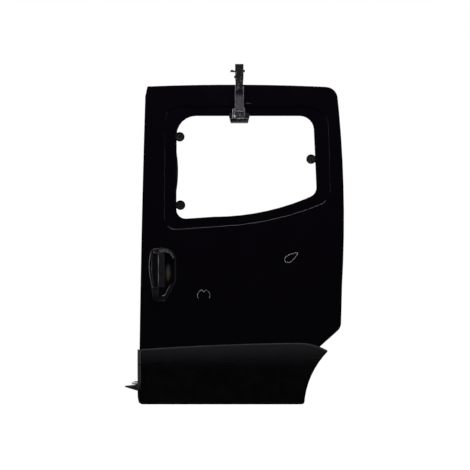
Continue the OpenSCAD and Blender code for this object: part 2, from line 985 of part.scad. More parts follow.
// Lifting hook: head bar, channel, foot, rubber and bolt
rebate_top_z = win_top_z + rebate_w - 6;
hook_gap = 0.5;
hook_back = min(bow_y(rebate_top_z), bow_y(win_top_z) + rebate) - hook_gap;
head_t = 12;
head_w = 33;
neck_w = channel_w - 2 * hook_t;
head_y = hook_back - hook_t - head_t;
head_foot_z = win_top_z + 97;
channel_top_z = win_top_z + 116;
channel_foot_z = win_top_z + 16;
shelf_z = win_top_z - 25;
shelf_t = 4;
lip_y = depth_y(win_top_z + lip_w + 20, frame_depth) + 1;

module hook_head() {
    wide = head_w / 2;
    neck = neck_w / 2;
    color("#3a3a3c")
    difference() {
        union() {
            slab(head_y, head_y + head_t) translate([hook_x, 0]) polygon(outline([
                [-neck, head_foot_z, 3], [-neck, channel_top_z + 6, 0],
                [-wide, channel_top_z + 34, 0], [-wide, hook_top_z, 0], [wide, hook_top_z, 0],
                [wide, channel_top_z + 34, 0], [neck, channel_top_z + 6, 0],
                [neck, head_foot_z, 3]]));
            block([hook_x - wide - 4, head_y + 2, lug_z - 4], [hook_x, head_y + head_t - 2, lug_z + 4]);
        }
        rod_x(pin_r, head_y + head_t / 2, cross_z, hook_x - wide - cut, hook_x + wide + cut);
    }
}

pin_r = 3;
cross_z = hook_top_z - 28;
lug_z = hook_top_z - 50;

module hook_cross_pin() {
    color("#5a5a5a")
    rod_x(pin_r, head_y + head_t / 2, cross_z, hook_x - 34, hook_x + 22);
}

module hook_channel() {
    half = channel_w / 2;
    front = hook_back - channel_d;
    color("#8d9096")
    union() {
        block([hook_x - half, hook_back - hook_t, channel_foot_z],
            [hook_x + half, hook_back, channel_top_z]);
        for (x = [hook_x - half, hook_x + half - hook_t])
            block([x, front, channel_foot_z], [x + hook_t, hook_back, channel_top_z]);
    }
}

module hook_foot() {
    half = foot_w / 2;
    neck = channel_w / 2;
    top = channel_foot_z;
    color("#4a4c50")
    union() {
        slab(hook_back - hook_t, hook_back) translate([hook_x, 0]) polygon([
            [-neck, top], [-half, top - 8], [-half, top - 18], [-half + 6, shelf_z],
            [half - 6, shelf_z], [half, top - 18], [half, top - 8], [neck, top]]);
        block([hook_x - half + 6, hook_back - 14, shelf_z],
            [hook_x + half - 6, lip_y + hook_t, shelf_z + shelf_t]);
        block([hook_x - half + 6, lip_y, shelf_z],
            [hook_x + half - 6, lip_y + hook_t, win_top_z + lip_w + 18]);
        for (side = [-1, 1])
            slab(hook_back - 14, hook_back) translate([hook_x, 0]) polygon([
                [side * neck, top], [side * (neck + 8), top - 32], [side * (neck + 8), shelf_z],
                [side * (neck - 3), shelf_z], [side * (neck - 3), top]]);
    }
}

module hook_pad() {
    half = foot_w / 2 - 6;
    lip_back = depth_y(win_top_z + lip_w, rebate + 2 * sheet) + 1;
    color("#1c1c1c")
    union() {
        block([hook_x - half, hook_back, shelf_z + shelf_t], [hook_x + half, lip_y, win_top_z]);
        block([hook_x - half, lip_back, win_top_z - cut],
            [hook_x + half, lip_y, win_top_z + lip_w]);
    }
}

module hook_bolt() {
    color("#6a6a6a")
    rod_y(7, hook_x + 4, channel_foot_z - 16, hook_back - hook_t - 5, hook_back - hook_t);
}

// Move the door so that the origin is the middle of the hook's top face
module placed() {
    translate([-hook_x, -(head_y + head_t / 2), -hook_top_z]) children();
}

placed() outer_skin();
placed() inner_panel();
placed() inner_panel_rim();
placed() window_frame_inner();
placed() front_pillar_stiffener();
placed() belt_stiffener();
placed() side_impact_beam();
placed() damping_pad();
placed() lower_cladding();
placed() front_edge_seal();
placed() window_hinge_bush_upper();
placed() window_hinge_bush_lower();
placed() window_latch_bush();
placed() handle_surround();
placed() handle_bowl();
placed() handle_grip();
placed() handle_pin();
placed() front_latch();
placed() rear_latch();
placed() latch_rod_front();
placed() latch_rod_rear();
placed() release_unit();
placed() inner_handle();
placed() rear_hinge_plate();
placed() buffer_upper();
placed() buffer_lower();
placed() upper_arm();
placed() upper_roller();
placed() upper_roller_pin();
placed() lower_arm();
placed() lower_guide_roller_front();
placed() lower_guide_roller_rear();
placed() lower_guide_pin_front();
placed() lower_guide_pin_rear();
placed() lower_load_roller();
placed() lower_load_pin();
placed() hook_head();
placed() hook_cross_pin();
placed() hook_channel();
placed() hook_foot();
placed() hook_pad();
placed() hook_bolt();
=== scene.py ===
# %% [markdown]
# # A van's sliding door on a lifting hook
#
# The real thing is two steel pressings, an outer skin and an inner pan, folded and welded together at the
# rim and sprayed gloss black. The glass and the trim are out, so its latches, rods and roller arms show
# from the cabin side. It hangs from a steel hook that grips the window frame.
#
# The shapes come ready made, as a fixed frame of named nodes. This notebook adds what a frame can't hold:
# finishes, welds, screws, clips, chalk marks, light and a camera.

# %% Load the frame
import math
import random

import bmesh
import bpy
import numpy as np
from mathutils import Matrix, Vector
from mathutils.bvhtree import BVHTree


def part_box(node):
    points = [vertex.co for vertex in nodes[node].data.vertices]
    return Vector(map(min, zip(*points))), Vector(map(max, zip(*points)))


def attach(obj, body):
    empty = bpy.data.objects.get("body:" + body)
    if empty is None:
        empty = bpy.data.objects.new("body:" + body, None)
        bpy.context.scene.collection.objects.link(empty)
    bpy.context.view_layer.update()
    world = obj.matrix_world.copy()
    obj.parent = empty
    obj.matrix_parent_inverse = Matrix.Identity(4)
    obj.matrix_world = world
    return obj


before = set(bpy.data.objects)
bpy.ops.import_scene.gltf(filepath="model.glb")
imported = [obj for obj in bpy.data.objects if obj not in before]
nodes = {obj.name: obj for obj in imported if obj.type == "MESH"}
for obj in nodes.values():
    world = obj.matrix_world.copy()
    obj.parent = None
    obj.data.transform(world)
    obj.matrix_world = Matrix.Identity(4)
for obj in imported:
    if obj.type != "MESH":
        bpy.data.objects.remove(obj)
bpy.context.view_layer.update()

# %% [markdown]
# ## Places on the door
#
# The frame's origin is on top of the hook, which is a poor place to measure a door from. People who make
# doors measure from the foot of the front edge: X to the rear, Y into the cabin, Z up, in millimetres. One
# function turns such a place into the frame's metres.
#
# The body side is bowed like a barrel with a very large radius, so anything that lies on it needs the
# height's own depth and tilt. Two more functions give those, and a third gives a node's box as door places.

# %% Door places and the bow of the body side
MM = 0.001
HOOK_TO_FRONT_EDGE = 388
FOOT = Vector((-HOOK_TO_FRONT_EDGE * MM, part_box("outer_skin")[0].y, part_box("lower_cladding")[0].z))
BOW_RADIUS = 4200
FULLEST_HEIGHT = 426


def at(x, y, z):
    """A door place in millimetres as a point of the frame."""
    return FOOT + Vector((x, y, z)) * MM


def door_box(name):
    """Both corners of a node's box, as door places in millimetres."""
    return [(corner - FOOT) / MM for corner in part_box(name)]


def bow_y(z, depth=0.0):
    """Depth in millimetres of the sheet that lies a given depth under the paint, at height z."""
    radius = BOW_RADIUS - depth
    return BOW_RADIUS - math.sqrt(radius ** 2 - (z - FULLEST_HEIGHT) ** 2)


def outward(z, depth=0.0):
    """Direction out of the vehicle, square to the bowed sheet at height z."""
    lean = math.asin((z - FULLEST_HEIGHT) / (BOW_RADIUS - depth))
    return Vector((0, -math.cos(lean), math.sin(lean)))


print("foot of the front edge at", [round(v, 4) for v in FOOT])

# %% [markdown]
# ## Camera
#
# The photo was taken square on from about five metres, with the lens level and a little above the middle
# of the door. The distance matters: the bowed door's top and foot are farther away than its middle, and a
# nearer camera would shrink them more. The lens is then fixed by how much of the image the door fills.

# %% Camera
CAMERA_DISTANCE = 5.0
# The point that the middle of the photo shows.
AIM = Vector((-0.0169, -0.015, -0.6693))
SENSOR_MM = 36.0
IMAGE_PIXELS = 470
# The door is 1250 mm high over its cladding, and fills 320 pixels.
METRES_PER_PIXEL = 0.003906

camera_data = bpy.data.cameras.new("photo_camera")
camera_data.sensor_width = SENSOR_MM
camera_data.lens = SENSOR_MM * CAMERA_DISTANCE / (IMAGE_PIXELS * METRES_PER_PIXEL)
camera = bpy.data.objects.new("photo_camera", camera_data)
camera.location = AIM + Vector((0, -CAMERA_DISTANCE, 0))
camera.rotation_euler = (math.radians(90), 0, 0)
bpy.context.scene.collection.objects.link(camera)
bpy.context.scene.camera = camera
bpy.context.scene.view_settings.view_transform = "Standard"
print("lens of", round(camera_data.lens, 1), "mm")

# %% [markdown]
# ## Colours and nodes
#
# Colours are written as sRGB hex codes, the way a paint program shows them. A shader computes with linear
# light, so one function turns them over. A material could be drawn by hand in the shader editor, but then
# nobody can read how it works. Here one small function adds a node, fills its inputs and sets its options,
# so that a material reads as a short list.
#
# Sockets that share a name go by number. Map Range takes its value at 0, the span it comes from at 1 and 2,
# and the span it goes to at 3 and 4. Math takes its numbers at 0, 1 and 2. Mix takes its share at 0, and
# then two numbers at 2 and 3 or two colours at 6 and 7.

# %% Colours and nodes
def linear(code):
    """sRGB hex colour as linear red, green, blue and alpha."""
    values = [int(code[start:start + 2], 16) / 255 for start in (1, 3, 5)]
    return [v / 12.92 if v <= 0.04045 else ((v + 0.055) / 1.055) ** 2.4 for v in values] + [1.0]


def add(tree, kind, inputs=None, out=0, **settings):
    """Adds a node and returns one of its outputs. An input is a constant or the output that feeds it."""
    made = tree.nodes.new("ShaderNode" + kind)
    for name, value in settings.items():
        setattr(made, name, value)
    for socket, value in (inputs or {}).items():
        if isinstance(value, bpy.types.NodeSocket):
            tree.links.new(value, made.inputs[socket])
        else:
            made.inputs[socket].default_value = value
    return made.outputs[out] if made.outputs else made


print("middle grey in linear light is", round(linear("#808080")[0], 3))

# %% [markdown]
# ## Studio light
#
# Gloss black shows almost nothing but what it mirrors. In the photo the space behind the camera is dark,
# so the door stays black, while a ceiling light catches only what faces up: the cladding's rolled edge,
# the steps round the window and the handle's rim. A lamp beside the camera would lay a grey veil on it all.
#
# So the key light hangs overhead and a little in front. Two weak strips stand at the sides, and a panel
# stands behind for the cabin side.

# %% Lamps
DOOR_CENTRE = (0.0, 0.0, -0.7)


def lamp(name, place, target, size, watts):
    """Soft rectangular lamp that the camera doesn't see."""
    data = bpy.data.lights.new(name, "AREA")
    data.shape = "RECTANGLE"
    data.size, data.size_y = size
    data.energy = watts
    made = bpy.data.objects.new(name, data)
    made.location = place
    made.rotation_euler = (Vector(target) - Vector(place)).to_track_quat("-Z", "Y").to_euler()
    made.visible_camera = False
    bpy.context.scene.collection.objects.link(made)
    print("lamp", name, "-", watts, "watts")


lamp("ceiling_key", place=(0.0, -0.75, 1.25), target=(0.0, 0.0, -0.9), size=(2.2, 0.9), watts=60)
lamp("front_strip", place=(-2.3, -0.55, -0.5), target=DOOR_CENTRE, size=(0.5, 1.8), watts=9)
lamp("rear_strip", place=(2.3, -0.55, -0.5), target=DOOR_CENTRE, size=(0.5, 1.8), watts=9)
lamp("cabin_panel", place=(-0.9, 2.6, 0.5), target=DOOR_CENTRE, size=(1.8, 1.6), watts=55)

# %% [markdown]
# ## The room around the door
#
# The background is white, but white light from all round would turn the black paint grey. So the world asks
# each ray what it is. The camera's own rays see plain white. A mirroring surface sees white behind the door
# and a dark room in front of it, and everything else gets a low, even light.

# %% World
AMBIENT = 0.30
DARK_ROOM = 0.02
# A mirrored ray counts as going backwards once this much of its direction points behind the door.
FULLY_BACKWARD = 0.5

world = bpy.data.worlds.new("studio")
bpy.context.scene.world = world
world.use_nodes = True
sky = world.node_tree
sky.nodes.clear()
toward = add(sky, "TexCoord", out="Generated")
backward = add(sky, "SeparateXYZ", {0: toward}, out="Y")
mirrored = add(sky, "MapRange", {0: backward, 1: 0.0, 2: FULLY_BACKWARD, 3: DARK_ROOM, 4: 1.0},
               interpolation_type="SMOOTHSTEP")
seen = add(sky, "LightPath", out="Is Camera Ray")
glossy = add(sky, "LightPath", out="Is Glossy Ray")
through = add(sky, "LightPath", out="Is Transmission Ray")
plain = add(sky, "Math", {0: seen, 1: through}, operation="MAXIMUM")
base_light = add(sky, "Mix", {0: plain, 2: AMBIENT, 3: 1.0})
strength = add(sky, "Mix", {0: glossy, 2: base_light, 3: mirrored})
sky_light = add(sky, "Background", {"Color": linear("#ffffff"), "Strength": strength})
add(sky, "OutputWorld", {"Surface": sky_light})
print("world with", len(sky.nodes), "nodes")

# %% [markdown]
# ## Floor
#
# The floor is a pale sheet under the hanging door, and has to melt into the white behind it. A brighter
# lamp would do that, but it would light the door too. So the sheet is grey card with a glow that only the
# camera sees. The glow is weaker under the door, which leaves room for its shadow, and full far out.

# %% Floor
FLOOR_DROP = 400
FLOOR_SIDE = 2.2
FLOOR_FRONT = 1.0
FLOOR_BACK = 3.0
GLOW_NEAR = 0.75
GLOW_FAR = 0.97
GLOW_NEAR_RADIUS = 0.6
GLOW_FAR_RADIUS = 2.6

floor_mesh = bpy.data.meshes.new("studio_floor")
floor_z = FOOT.z - FLOOR_DROP * MM
floor_mesh.from_pydata([(-FLOOR_SIDE, -FLOOR_FRONT, floor_z), (FLOOR_SIDE, -FLOOR_FRONT, floor_z),
                        (FLOOR_SIDE, FLOOR_BACK, floor_z), (-FLOOR_SIDE, FLOOR_BACK, floor_z)],
                       [], [(0, 1, 2, 3)])
floor = bpy.data.objects.new("studio_floor", floor_mesh)
bpy.context.scene.collection.objects.link(floor)

pale = bpy.data.materials.new("pale studio card")
pale.use_nodes = True
card = pale.node_tree
card.nodes.clear()
spot = add(card, "TexCoord", out="Object")
away = add(card, "VectorMath", {0: spot, 1: (0, 0, floor_z)}, out="Value", operation="DISTANCE")
missing_light = add(card, "MapRange", {0: away, 1: GLOW_NEAR_RADIUS, 2: GLOW_FAR_RADIUS,
                                       3: GLOW_NEAR, 4: GLOW_FAR})
card_seen = add(card, "LightPath", out="Is Camera Ray")
card_through = add(card, "LightPath", out="Is Transmission Ray")
card_direct = add(card, "Math", {0: card_seen, 1: card_through}, operation="MAXIMUM")
glow_level = add(card, "Math", {0: card_direct, 1: missing_light}, operation="MULTIPLY")
matte = add(card, "BsdfDiffuse", {"Color": linear("#8c8c8e")})
glow = add(card, "Emission", {"Color": linear("#ffffff"), "Strength": glow_level})
card_sum = add(card, "AddShader", {0: matte, 1: glow})
add(card, "OutputMaterial", {"Surface": card_sum})
floor_mesh.materials.append(pale)
print("floor", FLOOR_DROP, "mm under the door")

# %% [markdown]
# ## Gloss black enamel
#
# A commercial van's door is dipped in grey primer and sprayed with black acrylic enamel. Its binder has an
# IOR of about 1.5, so it mirrors 4% of what is in front of it, in a film that is never quite flat: sprayed
# paint dries with a fine orange peel, a few millimetres from crest to crest. After years there is also a
# film of dust, which lies in cloudy patches and on whatever faces up, and turns the mirror dull there.
#
# Sizes of a pattern are given in millimetres, and a function turns them into the texture's scale. One recipe
# serves the outside, polished, and the inside, where the paint is thin, dull and dustier.

# %% Helpers of every material
def per(size_mm):
    """Texture scale at which a pattern's blotches are about size_mm wide."""
    return 1000 / size_mm


def new_material(name):
    """Empty node material, its tree, and the object's own coordinates in metres."""
    made = bpy.data.materials.new(name)
    made.use_nodes = True
    made.node_tree.nodes.clear()
    return made, made.node_tree, add(made.node_tree, "TexCoord", out="Object")


def finished(made, shader):
    """Puts the shader on the material's output."""
    add(made.node_tree, "OutputMaterial", {"Surface": shader})
    print("material", made.name, "-", len(made.node_tree.nodes), "nodes")
    return made

# %% Gloss black enamel
PEEL_MM = 4
DUST_CLOUD_MM = 130
# Real dust is finer, and is drawn coarse enough to show.
DUST_GRAIN_MM = 1.6


def black_enamel(name, roughness, dust_share, dust_colour):
    """Sprayed enamel. The eye sees a deep black mirror, rippled by its peel and clouded where dust lies."""
    made, tree, place = new_material(name)
    peel = add(tree, "TexNoise", {"Vector": place, "Scale": per(PEEL_MM), "Detail": 1.5})
    cloud = add(tree, "TexNoise", {"Vector": place, "Scale": per(DUST_CLOUD_MM), "Detail": 4.0})
    speck = add(tree, "TexNoise", {"Vector": place, "Scale": per(DUST_GRAIN_MM), "Detail": 3.0})
    patches = add(tree, "MapRange", {0: cloud, 1: 0.42, 2: 0.7}, interpolation_type="SMOOTHSTEP")
    grit = add(tree, "MapRange", {0: speck, 1: 0.40, 2: 0.72})
    film = add(tree, "Math", {0: patches, 1: grit}, operation="MULTIPLY")
    facing = add(tree, "NewGeometry", out="Normal")
    up = add(tree, "SeparateXYZ", {0: facing}, out="Z")
    shelf = add(tree, "MapRange", {0: up, 1: 0.55, 2: 0.95, 4: 0.8}, interpolation_type="SMOOTHSTEP")
    dust = add(tree, "Math", {0: film, 1: shelf}, operation="ADD", use_clamp=True)
    share = add(tree, "Math", {0: dust, 1: dust_share}, operation="MULTIPLY")
    colour = add(tree, "Mix", {0: share, 6: linear("#040206"), 7: linear(dust_colour)}, out=2,
                 data_type="RGBA")
    dull = add(tree, "Math", {0: dust, 1: 0.12, 2: roughness}, operation="MULTIPLY_ADD")
    skin = add(tree, "Bump", {"Height": peel, "Distance": 0.012 * MM, "Strength": 0.6})
    shader = add(tree, "BsdfPrincipled",
                 {"Base Color": colour, "Roughness": dull, "IOR": 1.5, "Normal": skin})
    return finished(made, shader)


polished_enamel = black_enamel("gloss black enamel, polished", roughness=0.05, dust_share=0.02,
                               dust_colour="#2a282c")
inner_enamel = black_enamel("gloss black enamel, inside", roughness=0.22, dust_share=0.5,
                            dust_colour="#2c2a2a")

# %% [markdown]
# ## Grained polypropylene
#
# The lower cladding is moulded polypropylene. Its mould is etched with a leather-like grain, about a
# millimetre from pebble to pebble, so that it looks matt and hides stone chips. The plastic itself is
# black all through, with an IOR of 1.49 and a roughness near 0.45. The grain scatters most of what it
# would mirror, so its specular level is low. A Voronoi pattern gives the pebbles their soft creases. At its
# true size it would be lost in the render, so it is drawn a little coarser.
#
# Weather fades the plastic grey where the sun falls on it, and the ceiling lamp lights its rolled top, so the
# colour is painted paler between two heights: part sun fade, part painted light from above. Its shoulder ends
# in a step as thin as paper, and along it a near-black band is painted shade, which keeps the bevelled crease
# from showing a line of light. The step rises to the rear along a straight line, so the colour goes dark
# wherever the surface is close to that line.

# %% Grained polypropylene
GRAIN_MM = 1.6
MOTTLE_MM = 45
SPLASH_MM = 120
SHOULDER_START = (25, 0, 157.2)
SHOULDER_RISE = 0.0399
# Half widths of the painted shade band along the shoulder: where it starts, and where it is full.
CREASE_SHADE_EDGE_MM = 2.4
CREASE_SHADE_CORE_MM = 1.2


def grained_polypropylene(name, pale_from, palest_at, faded_and_lit):
    """Grained plastic. The eye sees soft matt black, painted paler towards palest_at over the door's foot,
    part sun fade and part painted light, with a painted shade line along the shoulder.
    """
    made, tree, place = new_material(name)
    pebble = add(tree, "TexVoronoi", {"Vector": place, "Scale": per(GRAIN_MM), "Randomness": 1.0},
                 feature="SMOOTH_F1")
    mottle = add(tree, "TexNoise", {"Vector": place, "Scale": per(MOTTLE_MM), "Detail": 5.0})
    fade = add(tree, "MapRange", {0: mottle, 1: 0.4, 2: 0.68}, interpolation_type="SMOOTHSTEP")
    run = add(tree, "Mapping", {"Vector": place, "Scale": (8, 1, 1)})
    splash = add(tree, "TexNoise", {"Vector": run, "Scale": per(SPLASH_MM), "Detail": 6.0})
    pale_patch = add(tree, "MapRange", {0: splash, 1: 0.5, 2: 0.75})
    worn = add(tree, "Mix", {0: fade, 6: linear("#030204"), 7: linear("#060507")}, out=2, data_type="RGBA")
    share = add(tree, "Math", {0: pale_patch, 1: 0.06}, operation="MULTIPLY")
    soiled = add(tree, "Mix", {0: share, 6: worn, 7: linear("#181616")}, out=2, data_type="RGBA")
    height = add(tree, "SeparateXYZ", {0: place}, out="Z")
    # Painted paler upwards between two heights: part sun fade, part painted light from the ceiling lamp.
    sun_fade_and_top_light = add(tree, "MapRange", {0: height, 1: at(0, 0, pale_from).z, 2: at(0, 0, palest_at).z},
                interpolation_type="SMOOTHERSTEP")
    dry = add(tree, "Mix", {0: sun_fade_and_top_light, 6: soiled, 7: linear(faded_and_lit)}, out=2, data_type="RGBA")
    # Painted shade: a near-black band along the shoulder's crease, which hides the line of light the bevelled
    # crease would catch.
    offset = add(tree, "VectorMath", {0: place, 1: at(*SHOULDER_START)}, operation="SUBTRACT")
    along = add(tree, "SeparateXYZ", {0: offset})
    above = add(tree, "SeparateXYZ", {0: offset}, out="Z")
    drop = add(tree, "Math", {0: along, 1: -SHOULDER_RISE, 2: above}, operation="MULTIPLY_ADD")
    distance = add(tree, "Math", {0: drop}, operation="ABSOLUTE")
    dark_share = add(tree, "MapRange", {0: distance, 1: CREASE_SHADE_EDGE_MM * MM, 2: CREASE_SHADE_CORE_MM * MM})
    colour = add(tree, "Mix", {0: dark_share, 6: dry, 7: linear("#020202")}, out=2, data_type="RGBA")
    rough = add(tree, "MapRange", {0: mottle, 1: 0.3, 2: 0.7, 3: 0.42, 4: 0.55})
    grain = add(tree, "Bump", {"Height": pebble, "Distance": 0.12 * MM, "Strength": 0.7}, invert=True)
    shader = add(tree, "BsdfPrincipled", {"Base Color": colour, "Roughness": rough, "IOR": 1.49,
                                        "Specular IOR Level": 0.1, "Normal": grain})
    return finished(made, shader)


# Both are painted paler upwards: part sun fade, part painted light from above.
cladding_plastic = grained_polypropylene("grained polypropylene", pale_from=120, palest_at=245,
                                         faded_and_lit="#1c1b1e")
edge_plastic = grained_polypropylene("grained polypropylene, faded and lit edge", pale_from=40,
                                     palest_at=110, faded_and_lit="#3d3a3f")

# %% [markdown]
# ## Handle nylon
#
# Outer handles are moulded in glass-filled nylon. It leaves the mould with a fine satin texture, and hands
# polish it: the roughness drops where fingers rub, and the black goes chalky grey where the sun and the
# brush of the car wash take the binder off the glass fibres. Its IOR is 1.53, and a dusty or fibrous face
# mirrors less than a polished one. One recipe serves six finishes, from the grip's polished face to the
# pale edges, whose pale grey is a painted highlight that draws the handle as pale lines.

# %% Handle nylon
# The mould's texture is finer, and is drawn coarse enough to show.
TEXTURE_MM = 0.8
FADE_DEPTH_MM = 16


def handle_nylon(name, clean, faded, satin, rubbed, blotch_mm=22, clean_below=0, mirror=0.5):
    """Moulded nylon. The eye sees satin black with chalky blotches, above a height over the door's foot."""
    made, tree, place = new_material(name)
    spark = add(tree, "TexNoise", {"Vector": place, "Scale": per(TEXTURE_MM), "Detail": 2.0})
    touch = add(tree, "TexNoise", {"Vector": place, "Scale": per(blotch_mm), "Detail": 3.0})
    blotch = add(tree, "MapRange", {0: touch, 1: 0.36, 2: 0.62})
    height = add(tree, "SeparateXYZ", {0: place}, out="Z")
    reach = add(tree, "MapRange", {0: height, 1: at(0, 0, clean_below).z,
                                   2: at(0, 0, clean_below + FADE_DEPTH_MM).z})
    share = add(tree, "Math", {0: blotch, 1: reach}, operation="MULTIPLY")
    colour = add(tree, "Mix", {0: share, 6: linear(clean), 7: linear(faded)}, out=2, data_type="RGBA")
    rough = add(tree, "MapRange", {0: touch, 1: 0.4, 2: 0.62, 3: satin, 4: rubbed})
    texture = add(tree, "Bump", {"Height": spark, "Distance": 0.03 * MM, "Strength": 0.5})
    shader = add(tree, "BsdfPrincipled",
                 {"Base Color": colour, "Roughness": rough, "IOR": 1.53, "Specular IOR Level": mirror,
                  "Normal": texture})
    return finished(made, shader)


grip_nylon = handle_nylon("polished black nylon", "#050406", "#0b0a0d", satin=0.24, rubbed=0.14)
strip_nylon = handle_nylon("matt black nylon", "#0f0e11", "#1b191d", satin=0.5, rubbed=0.4, mirror=0.2)
frame_nylon = handle_nylon("weathered black nylon", "#0c0b0d", "#222023", satin=0.42, rubbed=0.3,
                           blotch_mm=9, clean_below=418, mirror=0.2)
dusty_nylon = handle_nylon("dusty black nylon", "#0f0e11", "#504e53", satin=0.6, rubbed=0.5, blotch_mm=7)
# Pale grey nylon for the grip's ridge and the frame's edges: a painted highlight where those edges catch
# light.
highlight_nylon = handle_nylon("nylon edge with painted highlight", "#4d4b50", "#8f8d91", satin=0.5, rubbed=0.35,
                              blotch_mm=12)
inside_nylon = handle_nylon("fine textured black nylon", "#0a090b", "#151316", satin=0.42, rubbed=0.3,
                            mirror=0.3)

# %% [markdown]
# ## Painted reflection in the finger bowl
#
# The bowl's sloping wall mirrors the light as a pale, warm patch, and that reflection is painted into the
# colour: a pale oval, grey above and brown below, on plastic that is nearly black elsewhere. It could be
# painted on an image, but the distance from the oval's middle, measured in half widths and half heights, is
# all the mask needs. A noise frays its edge.

# %% Painted reflection in the finger bowl
REFLECTION_MIDDLE = (110, 0, 514)
REFLECTION_HALF_WIDTH = 12
REFLECTION_HALF_HEIGHT = 42
WARM_FADE_MM = 12
FRAY_MM = 9


def bowl_reflection():
    """Nylon with a painted reflection. The eye sees a pale, dull oval, grey above and brown below, in a dark
    satin bowl.
    """
    made, tree, place = new_material("black nylon with painted reflection")
    offset = add(tree, "VectorMath", {0: place, 1: at(*REFLECTION_MIDDLE)}, operation="SUBTRACT")
    halves = (1000 / REFLECTION_HALF_WIDTH, 0, 1000 / REFLECTION_HALF_HEIGHT)
    oval = add(tree, "VectorMath", {0: offset, 1: halves}, operation="MULTIPLY")
    distance = add(tree, "VectorMath", {0: oval}, out="Value", operation="LENGTH")
    fray = add(tree, "TexNoise", {"Vector": place, "Scale": per(FRAY_MM), "Detail": 5.0})
    edge = add(tree, "Math", {0: fray, 1: 0.5, 2: distance}, operation="MULTIPLY_ADD")
    pale_patch = add(tree, "MapRange", {0: edge, 1: 1.3, 2: 0.5}, interpolation_type="SMOOTHSTEP")
    height = add(tree, "SeparateXYZ", {0: offset}, out="Z")
    low = add(tree, "MapRange", {0: height, 1: WARM_FADE_MM * MM, 2: -WARM_FADE_MM * MM})
    # Painted reflection: grey above and warm brown below, where the bowl's wall mirrors light.
    warm_tint = add(tree, "Mix", {0: low, 6: linear("#55535a"), 7: linear("#5d5146")}, out=2, data_type="RGBA")
    colour = add(tree, "Mix", {0: pale_patch, 6: linear("#0c0b0d"), 7: warm_tint}, out=2, data_type="RGBA")
    rough = add(tree, "MapRange", {0: pale_patch, 3: 0.45, 4: 0.9})
    speckle = add(tree, "Bump", {"Height": fray, "Distance": 0.1 * MM, "Strength": 0.6})
    shader = add(tree, "BsdfPrincipled", {"Base Color": colour, "Roughness": rough, "IOR": 1.53,
                                        "Specular IOR Level": 0.3, "Normal": speckle})
    return finished(made, shader)


bowl_nylon = bowl_reflection()

# %% [markdown]
# ## Rubber
#
# The bushes, buffers, the hook's pad and the edge strip are EPDM rubber, filled with carbon black. It is
# matt, with a roughness near 0.7, and a grey bloom of talc and wax gathers on it in patches. The bloom is a
# noise in colour and roughness both, since a patch of wax is paler and drier at the same spot.

# %% Rubber
# Real pores are finer, and are drawn coarse enough to show.
PORE_MM = 1.1
BLOOM_MM = 9


def epdm_rubber(name, clean, bloomed):
    """Moulded rubber. The eye sees matt black that hardly shines, with a dry grey bloom in patches."""
    made, tree, place = new_material(name)
    skin = add(tree, "TexNoise", {"Vector": place, "Scale": per(PORE_MM), "Detail": 4.0})
    bloom = add(tree, "TexNoise", {"Vector": place, "Scale": per(BLOOM_MM), "Detail": 5.0})
    grey = add(tree, "MapRange", {0: bloom, 1: 0.42, 2: 0.7}, interpolation_type="SMOOTHSTEP")
    colour = add(tree, "Mix", {0: grey, 6: linear(clean), 7: linear(bloomed)}, out=2, data_type="RGBA")
    rough = add(tree, "MapRange", {0: grey, 3: 0.6, 4: 0.85})
    pores = add(tree, "Bump", {"Height": skin, "Distance": 0.08 * MM, "Strength": 0.6})
    shader = add(tree, "BsdfPrincipled", {"Base Color": colour, "Roughness": rough, "IOR": 1.52,
                                        "Specular IOR Level": 0.12, "Normal": pores})
    return finished(made, shader)


rubber = epdm_rubber("EPDM rubber with bloom", "#0a0a0c", "#1c1b1e")
clean_rubber = epdm_rubber("EPDM rubber, clean", "#020203", "#050506")

# %% [markdown]
# ## Zinc-plated steel
#
# Latches, pins, bolts and rods are zinc-plated against rust. Zinc is bright and a little blue, with a fine
# grain from drawing or tumbling, and turns brown in spots where it has worn through. Rust isn't a metal to
# light at all but a rough mineral, so the metallic value drops where the spots are.

# %% Zinc-plated steel
ZINC_GRAIN_MM = 2.2
STAIN_MM = 14


def zinc_plate():
    """Plated metal. The eye sees a soft silver shine, drawn out by its grain, and dull brown spots."""
    made, tree, place = new_material("zinc-plated steel")
    brushed = add(tree, "Mapping", {"Vector": place, "Scale": (1, 1, 9)})
    grain = add(tree, "TexNoise", {"Vector": brushed, "Scale": per(ZINC_GRAIN_MM), "Detail": 4.0})
    stain = add(tree, "TexNoise", {"Vector": place, "Scale": per(STAIN_MM), "Detail": 6.0, "Roughness": 0.65})
    spots = add(tree, "MapRange", {0: stain, 1: 0.6, 2: 0.72}, interpolation_type="SMOOTHSTEP")
    zinc = add(tree, "Mix", {0: grain, 6: linear("#8f9297"), 7: linear("#b4b6b8")}, out=2, data_type="RGBA")
    colour = add(tree, "Mix", {0: spots, 6: zinc, 7: linear("#5a4636")}, out=2, data_type="RGBA")
    bare = add(tree, "MapRange", {0: spots, 3: 1.0, 4: 0.1})
    rough = add(tree, "MapRange", {0: grain, 1: 0.3, 2: 0.7, 3: 0.28, 4: 0.42})
    rough = add(tree, "Math", {0: spots, 1: 0.35, 2: rough}, operation="MULTIPLY_ADD")
    scuff = add(tree, "Bump", {"Height": grain, "Distance": 0.02 * MM, "Strength": 0.5})
    shader = add(tree, "BsdfPrincipled",
                 {"Base Color": colour, "Metallic": bare, "Roughness": rough, "Normal": scuff})
    return finished(made, shader)


zinc_steel = zinc_plate()

# %% [markdown]
# ## Painted and primed steel
#
# The beam wears only grey primer. The hook is shop-made of hot-rolled bar and plate, whose rough scale shows
# through its thin paint, and use has chipped it. Chips could be drawn one by one, but a fractal noise cut
# off at a level gives their ragged edges, and the level says how worn a piece is. One recipe serves four
# coats and the bare weld metal, which is as pebbly and as blotched, and whose pale grey is partly a painted
# highlight.

# %% Painted and primed steel
WEAR_MM = 11


